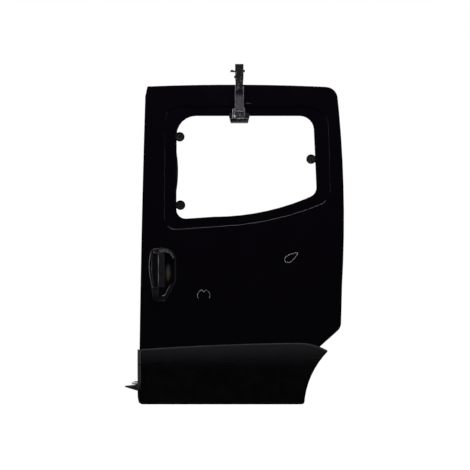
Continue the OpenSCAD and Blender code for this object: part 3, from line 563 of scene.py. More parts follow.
def painted_steel(name, paint, chipped, chip_level, roughness, pebble_mm, pebble_depth_mm, mirror=0.5):
    """Coated steel. The eye sees a pebbly, half dull coat, and sharp chips where wear passes chip_level."""
    made, tree, place = new_material(name)
    scale = add(tree, "TexNoise", {"Vector": place, "Scale": per(pebble_mm), "Detail": 4.0})
    wear = add(tree, "TexNoise", {"Vector": place, "Scale": per(WEAR_MM), "Detail": 7.0, "Roughness": 0.7})
    chips = add(tree, "MapRange", {0: wear, 1: chip_level, 2: chip_level + 0.05})
    tone = add(tree, "MapRange", {0: scale, 1: 0.3, 2: 0.7, 3: 0.55, 4: 1.35})
    shade = add(tree, "VectorMath", {0: linear(paint)[:3], 3: tone}, operation="SCALE")
    colour = add(tree, "Mix", {0: chips, 6: shade, 7: linear(chipped)}, out=2, data_type="RGBA")
    rough = add(tree, "MapRange", {0: wear, 1: 0.3, 2: 0.7, 3: roughness, 4: roughness + 0.2})
    relief = add(tree, "Bump", {"Height": scale, "Distance": pebble_depth_mm * MM, "Strength": 0.7})
    relief = add(tree, "Bump", {"Height": chips, "Distance": 0.08 * MM, "Strength": 0.6, "Normal": relief},
                 invert=True)
    shader = add(tree, "BsdfPrincipled", {"Base Color": colour, "Roughness": rough, "IOR": 1.5,
                                        "Specular IOR Level": mirror, "Normal": relief})
    return finished(made, shader)


primed_steel = painted_steel("grey primer on steel", "#3a3c40", "#6b5140", chip_level=0.66,
                             roughness=0.5, pebble_mm=3, pebble_depth_mm=0.03)
hook_steel = painted_steel("black paint on hot-rolled bar", "#0b0a0d", "#45434a", chip_level=0.55,
                           roughness=0.5, pebble_mm=5, pebble_depth_mm=0.45, mirror=0.12)
foot_steel = painted_steel("worn grey paint on plate steel", "#151317", "#77757a", chip_level=0.58,
                           roughness=0.4, pebble_mm=6, pebble_depth_mm=0.15, mirror=0.2)
plate_steel = painted_steel("rubbed grey paint on plate steel", "#2b292e", "#77757a", chip_level=0.57,
                            roughness=0.4, pebble_mm=6, pebble_depth_mm=0.15, mirror=0.2)
# Pale weld metal, whose pale grey is partly a painted highlight on the hook's lit lip and gusset.
weld_metal = painted_steel("pale weld metal with painted highlight", "#5d5b60", "#b0aeb3", chip_level=0.52,
                           roughness=0.4, pebble_mm=3, pebble_depth_mm=0.1)

# %% [markdown]
# ## Galvanised steel
#
# The hook's channel was dipped in molten zinc, which sets in flat crystals a few millimetres wide. When it
# is old they have gone to a dull grey film, so it is only a third metal to the eye. Voronoi cells are the
# crystals, each with its own grey, and a stretched noise adds the runs of the dip.

# %% Galvanised steel
CRYSTAL_MM = 7
RUN_MM = 18


def galvanised():
    """Dipped metal. The eye sees a patchwork of dull greys, with soft upright runs."""
    made, tree, place = new_material("galvanised steel")
    crystal = add(tree, "TexVoronoi", {"Vector": place, "Scale": per(CRYSTAL_MM)}, out="Color", feature="F1")
    flake = add(tree, "SeparateColor", {0: crystal})
    streak = add(tree, "Mapping", {"Vector": place, "Scale": (5, 5, 1)})
    drawn = add(tree, "TexNoise", {"Vector": streak, "Scale": per(RUN_MM), "Detail": 5.0})
    tone = add(tree, "Mix", {0: flake, 6: linear("#4b4a4f"), 7: linear("#646267")}, out=2, data_type="RGBA")
    run_share = add(tree, "MapRange", {0: drawn, 1: 0.35, 2: 0.7})
    colour = add(tree, "Mix", {0: run_share, 6: tone, 7: linear("#504e53")}, out=2, data_type="RGBA")
    rough = add(tree, "MapRange", {0: flake, 3: 0.42, 4: 0.6})
    relief = add(tree, "Bump", {"Height": drawn, "Distance": 0.05 * MM, "Strength": 0.5})
    shader = add(tree, "BsdfPrincipled",
                 {"Base Color": colour, "Metallic": 0.35, "Roughness": rough, "Normal": relief})
    return finished(made, shader)


galvanised_steel = galvanised()

# %% [markdown]
# ## Rusted arm
#
# The lower arm's tip has lost its paint to rust, and the rest is still black. So a blend along the arm is
# added to a noise, and rust starts where the sum passes a level: whole at the tip, in islands farther back.

# %% Rusted arm
RUST_NONE_X = 90
RUST_FULL_X = -30
FLAKE_MM = 5
RUST_PATCH_MM = 38


def rusted_paint():
    """Rust through paint. The eye sees pitted dark brown without shine, beside smooth black paint."""
    made, tree, place = new_material("rusted paint on steel")
    flake = add(tree, "TexNoise", {"Vector": place, "Scale": per(FLAKE_MM), "Detail": 8.0, "Roughness": 0.7})
    spread = add(tree, "TexNoise", {"Vector": place, "Scale": per(RUST_PATCH_MM), "Detail": 5.0})
    front = add(tree, "SeparateXYZ", {0: place}, out="X")
    tip = add(tree, "MapRange", {0: front, 1: at(RUST_NONE_X, 0, 0).x, 2: at(RUST_FULL_X, 0, 0).x,
                                 3: -0.08, 4: 0.24})
    reach = add(tree, "Math", {0: spread, 1: tip}, operation="ADD")
    rust = add(tree, "MapRange", {0: reach, 1: 0.5, 2: 0.62}, interpolation_type="SMOOTHSTEP")
    brown = add(tree, "Mix", {0: flake, 6: linear("#130d0b"), 7: linear("#2c1d17")}, out=2, data_type="RGBA")
    colour = add(tree, "Mix", {0: rust, 6: linear("#131213"), 7: brown}, out=2, data_type="RGBA")
    rough = add(tree, "MapRange", {0: rust, 3: 0.4, 4: 0.85})
    pits = add(tree, "Math", {0: flake, 1: rust}, operation="MULTIPLY")
    relief = add(tree, "Bump", {"Height": pits, "Distance": 0.5 * MM, "Strength": 0.8})
    shader = add(tree, "BsdfPrincipled",
                 {"Base Color": colour, "Roughness": rough, "IOR": 1.5, "Normal": relief})
    return finished(made, shader)


rusty_steel = rusted_paint()

# %% [markdown]
# ## Roller nylon
#
# The rollers and the trim's clips are white nylon, which yellows, and picks up black grease from the rail.
# Nylon lets a little light in, so it gets a faint subsurface share, which reaches a tenth of a millimetre for
# red, and less for green and blue.

# %% Roller nylon
SMEAR_MM = 8
YELLOWING_MM = 25
LIGHT_REACH_MM = 0.1


def roller_nylon():
    """Turned or moulded nylon. The eye sees a soft, waxy yellowish white under smears of dull grease."""
    made, tree, place = new_material("white nylon with grease")
    smear = add(tree, "TexNoise", {"Vector": place, "Scale": per(SMEAR_MM), "Detail": 6.0})
    aged = add(tree, "TexNoise", {"Vector": place, "Scale": per(YELLOWING_MM), "Detail": 2.0})
    dark_share = add(tree, "MapRange", {0: smear, 1: 0.45, 2: 0.68}, interpolation_type="SMOOTHSTEP")
    white = add(tree, "Mix", {0: aged, 6: linear("#d9d6cd"), 7: linear("#c3bba6")}, out=2, data_type="RGBA")
    colour = add(tree, "Mix", {0: dark_share, 6: white, 7: linear("#4c4743")}, out=2, data_type="RGBA")
    rough = add(tree, "MapRange", {0: dark_share, 3: 0.35, 4: 0.6})
    turned = add(tree, "Bump", {"Height": smear, "Distance": 0.06 * MM, "Strength": 0.5})
    shader = add(tree, "BsdfPrincipled", {
        "Base Color": colour, "Roughness": rough, "IOR": 1.53, "Subsurface Weight": 0.08,
        "Subsurface Scale": LIGHT_REACH_MM * MM, "Subsurface Radius": (1.0, 0.9, 0.75), "Normal": turned})
    return finished(made, shader)


white_nylon = roller_nylon()

# %% [markdown]
# ## Bitumen sheet
#
# A sheet of bitumen is stuck inside the skin to stop its drumming. It comes from the roller with a pressed
# fabric pattern, about four millimetres from thread to thread. Square Voronoi cells with little randomness
# make that weave, which a plain checker would make too sharp.

# %% Bitumen sheet
WEAVE_MM = 4
TAR_MM = 20


def bitumen_sheet():
    """Pressed tar. The eye sees dead, brownish black with a regular, knobbly weave."""
    made, tree, place = new_material("bitumen damping sheet")
    press = add(tree, "TexVoronoi", {"Vector": place, "Scale": per(WEAVE_MM), "Randomness": 0.15},
                distance="CHEBYCHEV")
    tar = add(tree, "TexNoise", {"Vector": place, "Scale": per(TAR_MM), "Detail": 4.0})
    colour = add(tree, "Mix", {0: tar, 6: linear("#1a1817"), 7: linear("#35312e")}, out=2, data_type="RGBA")
    relief = add(tree, "Bump", {"Height": press, "Distance": 0.3 * MM, "Strength": 0.8})
    shader = add(tree, "BsdfPrincipled",
                 {"Base Color": colour, "Roughness": 0.75, "IOR": 1.6, "Normal": relief})
    return finished(made, shader)


bitumen = bitumen_sheet()

# %% [markdown]
# ## Chalk
#
# Chalk is a soft stick dragged over paint. It is rough and dusty, and broken where the stick skipped, so a
# noise a few millimetres wide takes the white down to the grey of a bare smear.

# %% Chalk
SKIP_MM = 2.5


def chalk_dust():
    """Dry powder. The eye sees flat white with grey gaps, and no shine at any angle."""
    made, tree, place = new_material("white chalk on enamel")
    skip = add(tree, "TexNoise", {"Vector": place, "Scale": per(SKIP_MM), "Detail": 4.0})
    gaps = add(tree, "MapRange", {0: skip, 1: 0.36, 2: 0.56})
    colour = add(tree, "Mix", {0: gaps, 6: linear("#2b292d"), 7: linear("#b9b8bc")}, out=2, data_type="RGBA")
    speckle = add(tree, "Bump", {"Height": skip, "Distance": 0.2 * MM, "Strength": 0.8})
    shader = add(tree, "BsdfPrincipled",
                 {"Base Color": colour, "Roughness": 0.95, "IOR": 1.5, "Normal": speckle})
    return finished(made, shader)


chalk = chalk_dust()

# %% [markdown]
# ## Which piece gets which finish
#
# Every named node already has a material slot, so a finish only has to be put into it. That could be said
# piece by piece, but a list from finish to pieces, like a paint shop's, shows what shares a coat.

# %% Finish on each piece
FINISHES = {
    polished_enamel: ["outer_skin"],
    inner_enamel: ["inner_panel", "inner_panel_rim", "window_frame_inner", "front_pillar_stiffener",
                   "upper_arm"],
    primed_steel: ["belt_stiffener", "side_impact_beam"],
    bitumen: ["damping_pad"],
    cladding_plastic: ["lower_cladding"],
    rubber: ["front_edge_seal", "window_hinge_bush_upper", "window_hinge_bush_lower", "window_latch_bush",
             "buffer_upper", "buffer_lower", "hook_pad"],
    frame_nylon: ["handle_surround"],
    bowl_nylon: ["handle_bowl"],
    grip_nylon: ["handle_grip"],
    inside_nylon: ["inner_handle"],
    zinc_steel: ["handle_pin", "front_latch", "rear_latch", "release_unit", "latch_rod_front",
                 "latch_rod_rear", "rear_hinge_plate", "upper_roller_pin", "lower_guide_pin_front",
                 "lower_guide_pin_rear", "lower_load_pin", "hook_bolt"],
    white_nylon: ["upper_roller", "lower_guide_roller_front", "lower_guide_roller_rear",
                  "lower_load_roller"],
    rusty_steel: ["lower_arm"],
    hook_steel: ["hook_head", "hook_cross_pin"],
    foot_steel: ["hook_foot"],
    galvanised_steel: ["hook_channel"],
}
left = set(nodes)
for finish, names in FINISHES.items():
    for name in names:
        for slot in nodes[name].material_slots:
            slot.material = finish
        left.discard(name)
print("nodes without a finish:", sorted(left))

# %% [markdown]
# ## Rounded edges
#
# Nothing pressed or moulded has a perfectly sharp edge, and on black gloss the edges are all there is to
# see: each bend catches a thin line of ceiling light. Three modifiers do it without touching the meshes.
# Weld joins the loose rims of the faces, Bevel rounds every edge that turns by more than 35 degrees, and
# Weighted Normal keeps the large faces flat in the light.

# %% Rounded edges
EDGE_RADIUS = {"outer_skin": 0.7, "inner_panel": 0.7, "inner_panel_rim": 0.7, "window_frame_inner": 0.7,
               "lower_cladding": 1.0, "handle_surround": 0.9, "handle_bowl": 0.6, "handle_grip": 1.6,
               "hook_head": 0.9, "hook_channel": 0.8, "hook_foot": 0.8}
USUAL_EDGE_RADIUS = 0.5
EDGE_ANGLE = math.radians(35)
SAME_CORNER = 0.01
# How much the even shading favours large faces, of 100.
LARGE_FACE_WEIGHT = 80

for name, node_object in nodes.items():
    weld = node_object.modifiers.new("weld", "WELD")
    weld.merge_threshold = SAME_CORNER * MM
    bevel = node_object.modifiers.new("rounded edges", "BEVEL")
    bevel.width = EDGE_RADIUS.get(name, USUAL_EDGE_RADIUS) * MM
    bevel.segments = 2
    bevel.limit_method = "ANGLE"
    bevel.angle_limit = EDGE_ANGLE
    bevel.use_clamp_overlap = False
    bevel.miter_outer = "MITER_ARC"
    even = node_object.modifiers.new("even shading", "WEIGHTED_NORMAL")
    even.keep_sharp = False
    even.weight = LARGE_FACE_WEIGHT
print("rounded", len(nodes), "nodes")

# %% [markdown]
# ## Seats for small hardware
#
# Nothing may float, so a small piece is dropped on the mesh that carries it: a line is cast at the door, and
# the piece stands where the line lands, square to the face there. Places worked out by hand would do on flat
# sheet, but here the sheet is bowed and stepped.

# %% Seats on the frame's meshes
# Lines are cast from this far inside or outside the door.
RAY_START = 400
face_trees = {}


def seat(name, x, z, beside=0.0, side=1):
    """Point of a node's face at a door place, and the way that face looks. Side 1 is the face seen from the
    cabin, and side -1 from outside. Over a hole the line is cast beside it, and the face is carried on."""
    if name not in face_trees:
        data = nodes[name].data
        face_trees[name] = BVHTree.FromPolygons([v.co for v in data.vertices],
                                                [f.vertices for f in data.polygons])
    start = at(x + beside, RAY_START * side, z)
    hit, normal, _, _ = face_trees[name].ray_cast(start, Vector((0, -side, 0)))
    if hit is None:
        return None
    if normal.y * side < 0:
        normal = -normal
    here = at(x, 0, z)
    here.y = hit.y - (normal.x * (here.x - hit.x) + normal.z * (here.z - hit.z)) / normal.y
    return here, normal


print("inner face at", [round(v, 4) for v in seat("inner_panel", 400, 299)[0]])

# %% [markdown]
# ## Turned, swept and layered pieces
#
# Bolts, rivets, clips and plugs are turned, upset or moulded round, so each is an outline spun round an axis.
# A head with six flats is the same outline spun in six steps. A bead of sealer, a weld or a line of chalk is
# a small section carried along a path. A plate is two equal outlines with a wall between them. All three
# are written once with bmesh, which keeps the real sizes in view; modifiers would need a guide object each.

# %% Turned pieces
def spin(mesh, place, axis, outline, steps=20):
    """Adds an outline of (radius, height) points in millimetres, spun round an axis through a place.
    A point on the axis is one corner, where its faces meet as triangles."""
    turn = axis.to_track_quat("Z", "Y").to_matrix()
    angles = [math.tau * n / steps for n in range(steps)]
    rings = []
    for radius, height in outline:
        ring = []
        for angle in (angles if radius else [0.0]):
            arm = Vector((radius * math.cos(angle), radius * math.sin(angle), height))
            ring.append(mesh.verts.new(place + turn @ arm * MM))
        rings.append(ring)
    for upper, lower in zip(rings, rings[1:]):
        for n in range(steps):
            after = (n + 1) % steps
            corners = [upper[n % len(upper)], lower[n % len(lower)],
                       lower[after % len(lower)], upper[after % len(upper)]]
            mesh.faces.new(list(dict.fromkeys(corners)))

# %% Swept and layered pieces
def layered(mesh, outlines, closed=False):
    """Walls between equal outlines of vertices, one after another, with a lid at each open end."""
    following = outlines[1:] + outlines[:1] if closed else outlines[1:]
    for first, second in zip(outlines, following):
        for n in range(len(first)):
            after = (n + 1) % len(first)
            mesh.faces.new([first[n], first[after], second[after], second[n]])
    if not closed:
        mesh.faces.new(outlines[0][::-1])
        mesh.faces.new(outlines[-1])


def sweep(mesh, path, ups, section, scales=None, closed=False):
    """Carries a section of (across, up) points in millimetres along a path of the frame's points. A scale
    for each point makes the section wider or narrower there, and no higher."""
    count = len(path)
    rings = []
    for n, point in enumerate(path):
        ahead = path[(n + 1) % count] if closed or n + 1 < count else point
        behind = path[n - 1] if closed or n else point
        along = (ahead - behind).normalized()
        across = along.cross(ups[n]).normalized()
        rise = across.cross(along)
        scale = scales[n] if scales else 1.0
        rings.append([mesh.verts.new(point + (across * aside * scale + rise * up) * MM)
                      for aside, up in section])
    layered(mesh, rings, closed)

# %% Finished objects
def made_of(name, mesh, finish, body="door", crease=40):
    """Turns a bmesh into an object with a finish, which rides on a body. Edges that turn by more than the
    crease, in degrees, are shaded sharp."""
    bmesh.ops.recalc_face_normals(mesh, faces=mesh.faces)
    data = bpy.data.meshes.new(name)
    mesh.to_mesh(data)
    mesh.free()
    data.shade_smooth()
    data.set_sharp_from_angle(angle=math.radians(crease))
    data.materials.append(finish)
    made = bpy.data.objects.new(name, data)
    bpy.context.scene.collection.objects.link(made)
    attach(made, body)
    print(name, "-", len(data.polygons), "faces")
    return made


def soften(made, width_mm):
    """Rounds the edges of a piece."""
    rounding = made.modifiers.new("rounded edges", "BEVEL")
    rounding.width = width_mm * MM
    rounding.segments = 2

# %% [markdown]
# ## Clips and plugs
#
# The trim panel was held by moulded clips, and when it is pulled off the clips stay in the door. Drain and
# access holes are shut with rubber plugs. Each kind is one outline and a list of places, since a copy of a
# finished object would have to be turned by hand to lie on the bowed sheet.

# %% Clips and plugs
TRIM_CLIP = [(0, 3.4), (2.2, 3.4), (2.6, 2.2), (4.6, 2.2), (5.2, 3.0), (6.0, 3.0), (6.4, 1.6),
             (9.0, 1.2), (9.6, 0.4), (9.6, -0.3), (0, -0.3)]
RUBBER_PLUG = [(0, 1.0), (8.5, 1.0), (9.5, 3.2), (11.5, 4.0), (13.0, 3.4), (14.0, 1.4), (14.0, -0.3),
               (0, -0.3)]
BELT_CLIP_ROW = 628
MIDDLE_CLIP_ROW = 299
TOP_CLIP_ROW = 1185
FRONT_CLIP_COLUMN = 80
REAR_CLIP_COLUMN = 720


def scatter(mesh, node, places, outline, steps=20, beside=0.0):
    """Spins one outline at each door place on a node and returns how many found a seat."""
    seats = [found for x, z in places if (found := seat(node, x, z, beside))]
    for place, normal in seats:
        spin(mesh, place, normal, outline, steps)
    return len(seats)


clips = bmesh.new()
panel_clips = [(x, MIDDLE_CLIP_ROW) for x in (120, 220, 400, 600)]
panel_clips += [(x, BELT_CLIP_ROW) for x in (330, 440, 550, 640)]
panel_clips += [(200, 75), (330, 75), (460, 75), (570, 80), (50, 290), (50, 400)]
frame_clips = [(x, TOP_CLIP_ROW) for x in (250, 400, 550)]
frame_clips += [(FRONT_CLIP_COLUMN, z) for z in (800, 950, 1080)]
frame_clips += [(REAR_CLIP_COLUMN, z) for z in (900, 1000)]
seated = scatter(clips, "inner_panel", panel_clips, TRIM_CLIP)
seated += scatter(clips, "window_frame_inner", frame_clips, TRIM_CLIP)
made_of("trim_clips", clips, white_nylon)
print(seated, "clips of", len(panel_clips) + len(frame_clips))

plugs = bmesh.new()
scatter(plugs, "inner_panel", [(262, 300), (520, 300)], RUBBER_PLUG, steps=28)
made_of("drain_plugs", plugs, rubber)

# %% [markdown]
# ## Bolts, screws and rivets
#
# The roller arms are bolted on, the latches are screwed on through two holes each, and the release unit
# is riveted. A bolt is three outlines on one seat: a round washer, a head with six flats and its thread's
# end. They stand on the arm's own face, so that they tilt with it.

# %% Bolts of the roller arms
WASHER = [(0, 1.8), (8.6, 1.8), (9.2, 1.3), (9.2, -0.2), (0, -0.2)]
HEX_HEAD = [(0, 6.4), (5.6, 6.4), (7.0, 5.6), (7.0, 1.6), (0, 1.6)]
THREAD_END = [(0, 9.4), (2.6, 9.4), (3.2, 8.8), (3.2, 6.0), (0, 6.0)]
bolts = bmesh.new()
for node, places in {"lower_arm": [(50, 95), (122, 95), (122, 45)],
                     "upper_arm": [(72, 1192), (112, 1192), (92, 1163)]}.items():
    for outline, steps in ((WASHER, 24), (HEX_HEAD, 6), (THREAD_END, 16)):
        scatter(bolts, node, places, outline, steps)
made_of("arm_bolts", bolts, zinc_steel, crease=25)

# %% Screws and rivets
DOMED_SCREW = [(0, 0.9), (1.9, 0.9), (2.1, 2.5), (3.4, 2.3), (4.6, 1.5), (5.2, 0.3), (5.2, -0.4), (0, -0.4)]
BLIND_RIVET = [(0, 0.7), (1.0, 0.7), (1.2, 1.5), (2.4, 1.2), (3.4, 0.5), (3.6, -0.2), (0, -0.2)]
LATCH_HEIGHT = 516
SCREW_ACROSS = 17
SCREW_UP = 38
BESIDE_SCREW_HOLE = 5

screws = bmesh.new()
for node, x, out in (("front_latch", 59, -1), ("rear_latch", 731, 1)):
    places = [(x + SCREW_ACROSS * out, LATCH_HEIGHT + SCREW_UP),
              (x - SCREW_ACROSS * out, LATCH_HEIGHT - SCREW_UP)]
    scatter(screws, node, places, DOMED_SCREW, beside=BESIDE_SCREW_HOLE)
scatter(screws, "inner_handle", [(100, 632), (176, 632)], DOMED_SCREW)
made_of("latch_screws", screws, zinc_steel, crease=30)

rivets = bmesh.new()
scatter(rivets, "release_unit", [(204, 597), (274, 597), (204, 512), (274, 512)], BLIND_RIVET, steps=16)
made_of("release_rivets", rivets, zinc_steel, crease=30)

# %% [markdown]
# ## Outline of the rims
#
# Spot welds run round the outer flange and round the window, and sealer runs round the flange. Their places
# follow from the sheets' own outline. A list of points would go stale when the frame changes. So lines are
# cast from the middle of the door or of its window in all directions across the projected mesh, and the
# farthest or the nearest crossing is the rim.

# %% Outline of a rim
RIM_RAYS = 720
# A ray misses an edge that is this close to parallel, and may pass this share beyond its ends.
PARALLEL = 1e-9
EDGE_SLACK = 1e-6


def rim_of(name, middle, farthest, inset):
    """Closed outline of a node in door millimetres, seen across the door and moved inwards by inset."""
    data = nodes[name].data
    flat = np.array([((v.co - FOOT) / MM)[:] for v in data.vertices])[:, [0, 2]] - middle
    ends = np.array([e.vertices[:] for e in data.edges])
    start = flat[ends[:, 0]]
    step = flat[ends[:, 1]] - start
    rim = []
    for n in range(RIM_RAYS):
        angle = math.tau * n / RIM_RAYS
        ray = np.array([math.cos(angle), math.sin(angle)])
        slant = ray[0] * step[:, 1] - ray[1] * step[:, 0]
        usable = np.abs(slant) > PARALLEL
        first, edge, slant = start[usable], step[usable], slant[usable]
        reach = (first[:, 0] * edge[:, 1] - first[:, 1] * edge[:, 0]) / slant
        share = (first[:, 0] * ray[1] - first[:, 1] * ray[0]) / slant
        hits = reach[(reach > 1) & (share >= -EDGE_SLACK) & (share <= 1 + EDGE_SLACK)]
        rim.append(ray * (hits.max() if farthest else hits.min()) + middle)
    rim = np.array(rim)
    along = np.roll(rim, -1, 0) - np.roll(rim, 1, 0)
    along /= np.linalg.norm(along, axis=1)[:, None]
    return rim + np.stack([-along[:, 1], along[:, 0]], 1) * inset

# %% Even steps along a rim
def paced(outline, pitch, first=0.0):
    """Points every pitch millimetres along a closed outline."""
    loop = np.vstack([outline, outline[:1]])
    length = np.concatenate([[0], np.cumsum(np.linalg.norm(np.diff(loop, axis=0), axis=1))])
    count = max(3, round(length[-1] / pitch))
    stops = np.linspace(first, length[-1] + first, count, endpoint=False) % length[-1]
    return [(float(np.interp(s, length, loop[:, 0])), float(np.interp(s, length, loop[:, 1])))
            for s in stops]


door_middle = np.array([390.0, 600.0])
window_middle = np.array([400.0, 950.0])
# The spot welds run inside the skin's edge, and outside the window's.
WELD_INSET = 17
WELD_OUTSET = 8
door_rim = rim_of("outer_skin", door_middle, farthest=True, inset=WELD_INSET)
window_rim = rim_of("window_frame_inner", window_middle, farthest=False, inset=-WELD_OUTSET)
print("door rim spans", np.round(door_rim.max(0) - door_rim.min(0)), "mm")

# %% [markdown]
# ## Spot welds
#
# Two electrodes squeeze the pressings and leave a round crater about every 45 mm. A crater is 0.4 mm
# deep, which a bump could feign, but the black gloss shows its rim as a ring of light, so it is a
# spun outline. None is set where the flange turns away too steeply, or under a bush.

# %% Spot welds
SPOT_WELD = [(0, 0.05), (2.4, 0.05), (3.0, 0.45), (3.7, 0.4), (4.4, -0.25), (0, -0.25)]
WELD_PITCH = 45
FIRST_WINDOW_WELD = 20
# How far a flange may turn up or down, as a part of its unit normal.
STEEPEST_FLANGE = 0.3
BELT_HEIGHT = 649
CLEAR_OF_BUSH = 30
BUSH_HEIGHTS = {"window_hinge_bush_upper": 1042, "window_hinge_bush_lower": 774, "window_latch_bush": 954}
BUSHES = {name: (sum(corner.x for corner in door_box(name)) / 2, height)
          for name, height in BUSH_HEIGHTS.items()}


def rim_sheet(z):
    """Name of the sheet that makes the outer flange at a height."""
    return "inner_panel_rim" if z < BELT_HEIGHT else "window_frame_inner"


welds = bmesh.new()
for x, z in paced(door_rim, WELD_PITCH):
    found = seat(rim_sheet(z), x, z)
    if found and abs(found[1].z) < STEEPEST_FLANGE:
        spin(welds, *found, SPOT_WELD, steps=14)
for x, z in paced(window_rim, WELD_PITCH, FIRST_WINDOW_WELD):
    found = seat("window_frame_inner", x, z)
    clear = all(math.hypot(x - bush_x, z - bush_z) > CLEAR_OF_BUSH for bush_x, bush_z in BUSHES.values())
    if found and clear:
        spin(welds, *found, SPOT_WELD, steps=14)
made_of("spot_welds", welds, inner_enamel)

# %% [markdown]
# ## Bead of sealer
#
# A robot lays a bead of PVC sealer where the folded skin ends, and the paint goes over it. Its width wavers a
# little, so it is a swept section with seeded changes of width, and not a curve with an even bevel.

# %% Bead of sealer
BEAD_SECTION = [(-2.6, -0.4), (-2.0, 0.6), (-0.8, 1.1), (0.8, 1.1), (2.0, 0.6), (2.6, -0.4)]
BEAD_INSET = 11.5
BEAD_STEP = 7
# How far the sheet under the bead may turn sideways, as a part of its unit normal.
STEEPEST_BEAD = 0.4
BEAD_NARROWEST = 0.85
BEAD_WIDEST = 1.2

random.seed(11)
bead = bmesh.new()
bead_line = rim_of("outer_skin", door_middle, farthest=True, inset=BEAD_INSET)
bead_path, bead_ups, bead_widths = [], [], []
for x, z in paced(bead_line, BEAD_STEP):
    found = seat(rim_sheet(z), x, z)
    if found and abs(found[1].x) < STEEPEST_BEAD:
        bead_path.append(found[0])
        bead_ups.append(Vector((0, 1, 0)))
        bead_widths.append(random.uniform(BEAD_NARROWEST, BEAD_WIDEST))
sweep(bead, bead_path, bead_ups, BEAD_SECTION, bead_widths, closed=True)
made_of("seam_sealer", bead, inner_enamel)

# %% [markdown]
# ## Chalk rings and a scratch
#
# A body shop marks a door with chalk. A hand draws such a mark in one quick stroke: an uneven loop whose
# ends cross, or an arch that stays open. The chalk lies on the paint as a band of dust one or two
# millimetres wide and hardly thicker than paper. It could be a mask in the paint's material, but a piece of
# its own stays sharp at any zoom. A formula gives the stroke, small seeded slips make it a hand's, and the
# skin's own mesh carries it. A thin white scratch beside the hook is drawn in the same way.

# %% A stroke of chalk
CHALK_SECTION = [(-0.5, -0.05), (-0.3, 0.16), (0.3, 0.16), (0.5, -0.05)]
LIGHTEST_PRESS = 0.6
HARDEST_PRESS = 1.25


def stroke(mesh, places, width, slip_mm):
    """Lays a flat ribbon on the skin through door places, with slips of the hand. Width 1 is a millimetre."""
    path, ups, widths = [], [], []
    for x, z in places:
        slip_x = random.uniform(-slip_mm, slip_mm)
        slip_z = random.uniform(-slip_mm, slip_mm)
        found = seat("outer_skin", x + slip_x, z + slip_z, side=-1)
        path.append(found[0])
        ups.append(found[1])
        widths.append(width * random.uniform(LIGHTEST_PRESS, HARDEST_PRESS))
    sweep(mesh, path, ups, CHALK_SECTION, widths)

# %% Shapes of the strokes
RING_START = -0.16
RING_OVERLAP = 0.42
RING_TAPER = 0.45
ARCH_START_DEGREES = 205
ARCH_SWEEP_DEGREES = 230
DIP_HALF_WIDTH = 5


def leaf_ring(x, z, half_long, half_wide, tilt, steps=44):
    """A loop with one pointed end, whose two ends cross there."""
    places = []
    for n in range(steps + 1):
        turn = RING_START + (math.tau + RING_OVERLAP) * n / steps
        along = half_long * math.cos(turn)
        across = half_wide * math.sin(turn) * (1 - RING_TAPER * math.cos(turn))
        places.append((x + along * math.cos(tilt) - across * math.sin(tilt),
                       z + along * math.sin(tilt) + across * math.cos(tilt)))
    return places


def open_arch(x, z, half_width, height, dip, steps=36):
    """An arch that is open below, with a dip in its top."""
    places = []
    for n in range(steps + 1):
        turn = math.radians(ARCH_START_DEGREES - ARCH_SWEEP_DEGREES * n / steps)
        across = half_width * math.cos(turn)
        sag = dip * math.exp(-(across / DIP_HALF_WIDTH) ** 2)
        places.append((x + across, z + height * math.sin(turn) - sag))
    return places

# %% Chalk rings and a scratch
random.seed(5)
rings = bmesh.new()
leaf = leaf_ring(590, 572, half_long=29, half_wide=12, tilt=math.radians(34))
stroke(rings, leaf, width=1.9, slip_mm=0.4)
stroke(rings, open_arch(250, 423, half_width=24, height=24, dip=11), width=1.6, slip_mm=0.5)
made_of("chalk_rings", rings, chalk)

scratch = bmesh.new()
stroke(scratch, [(414 + 1.5 * n, 1176 - 0.12 * n) for n in range(15)], width=0.5, slip_mm=0.15)
made_of("skin_scratch", scratch, chalk)

# %% [markdown]
# ## Collars and shade discs of the rubber bushes
#
# The glass was bolted through three rubber bushes. Each has a soft collar round its rim, which sealed
# against the glass, and its hole is shut by a thin near-black disc, which is painted shade: it stands for
# the dark deep in the bore. Both are rubber of revolution, so two outlines spun round the bolt's line do
# for all three. The collar's outline ends where it starts, which makes it a ring, and merging the doubled
# corners closes it.

# %% Collars and shade discs of the rubber bushes
SHADE_DISC = [(0, 0.6), (2.97, 0.5), (2.97, -0.5), (0, -0.6)]
COLLAR = [(12.4, -0.4), (12.8, 1.0), (14.4, 2.2), (16.8, 2.2), (18.6, 0.8), (18.9, -2.4), (17.4, -5.0),
          (15.4, -5.0), (14.0, -0.4), (12.4, -0.4)]
BESIDE_HOLE = 9
# The shade discs stand square to the sheet that lies this deep under the paint.
FRAME_DEPTH = 40

bush_rubber = bmesh.new()
for bush, (x, z) in BUSHES.items():
    rim_place, rim_facing = seat(bush, x + BESIDE_HOLE, z, side=-1)
    front = at(x, 0, z)
    front.y = rim_place.y
    low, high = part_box(bush)
    middle = Vector((front.x, (low.y + high.y) / 2, front.z))
    # A near-black disc shuts the bore, as painted shade.
    spin(bush_rubber, middle, outward(z, FRAME_DEPTH), SHADE_DISC, steps=24)
    spin(bush_rubber, front, rim_facing, COLLAR, steps=40)
bmesh.ops.remove_doubles(bush_rubber, verts=bush_rubber.verts, dist=0.001 * MM)
made_of("bush_collars", bush_rubber, clean_rubber, crease=60)

# %% [markdown]
# ## Lip, tongue and gussets of the hook's foot
#
# The hook is shop-made: a bar, a length of channel and a bent plate. Two gusset plates stiffen the foot, a
# tongue of plate lies between them and a folded lip runs along the lower edge. Each is a side outline with
# a width. The ramped faces of the gussets look up at the ceiling light, so they are the brightest thing on
# the foot.

# %% Lip, tongue and gussets of the hook's foot
FOOT_FRONT = door_box("hook_foot")[0].y
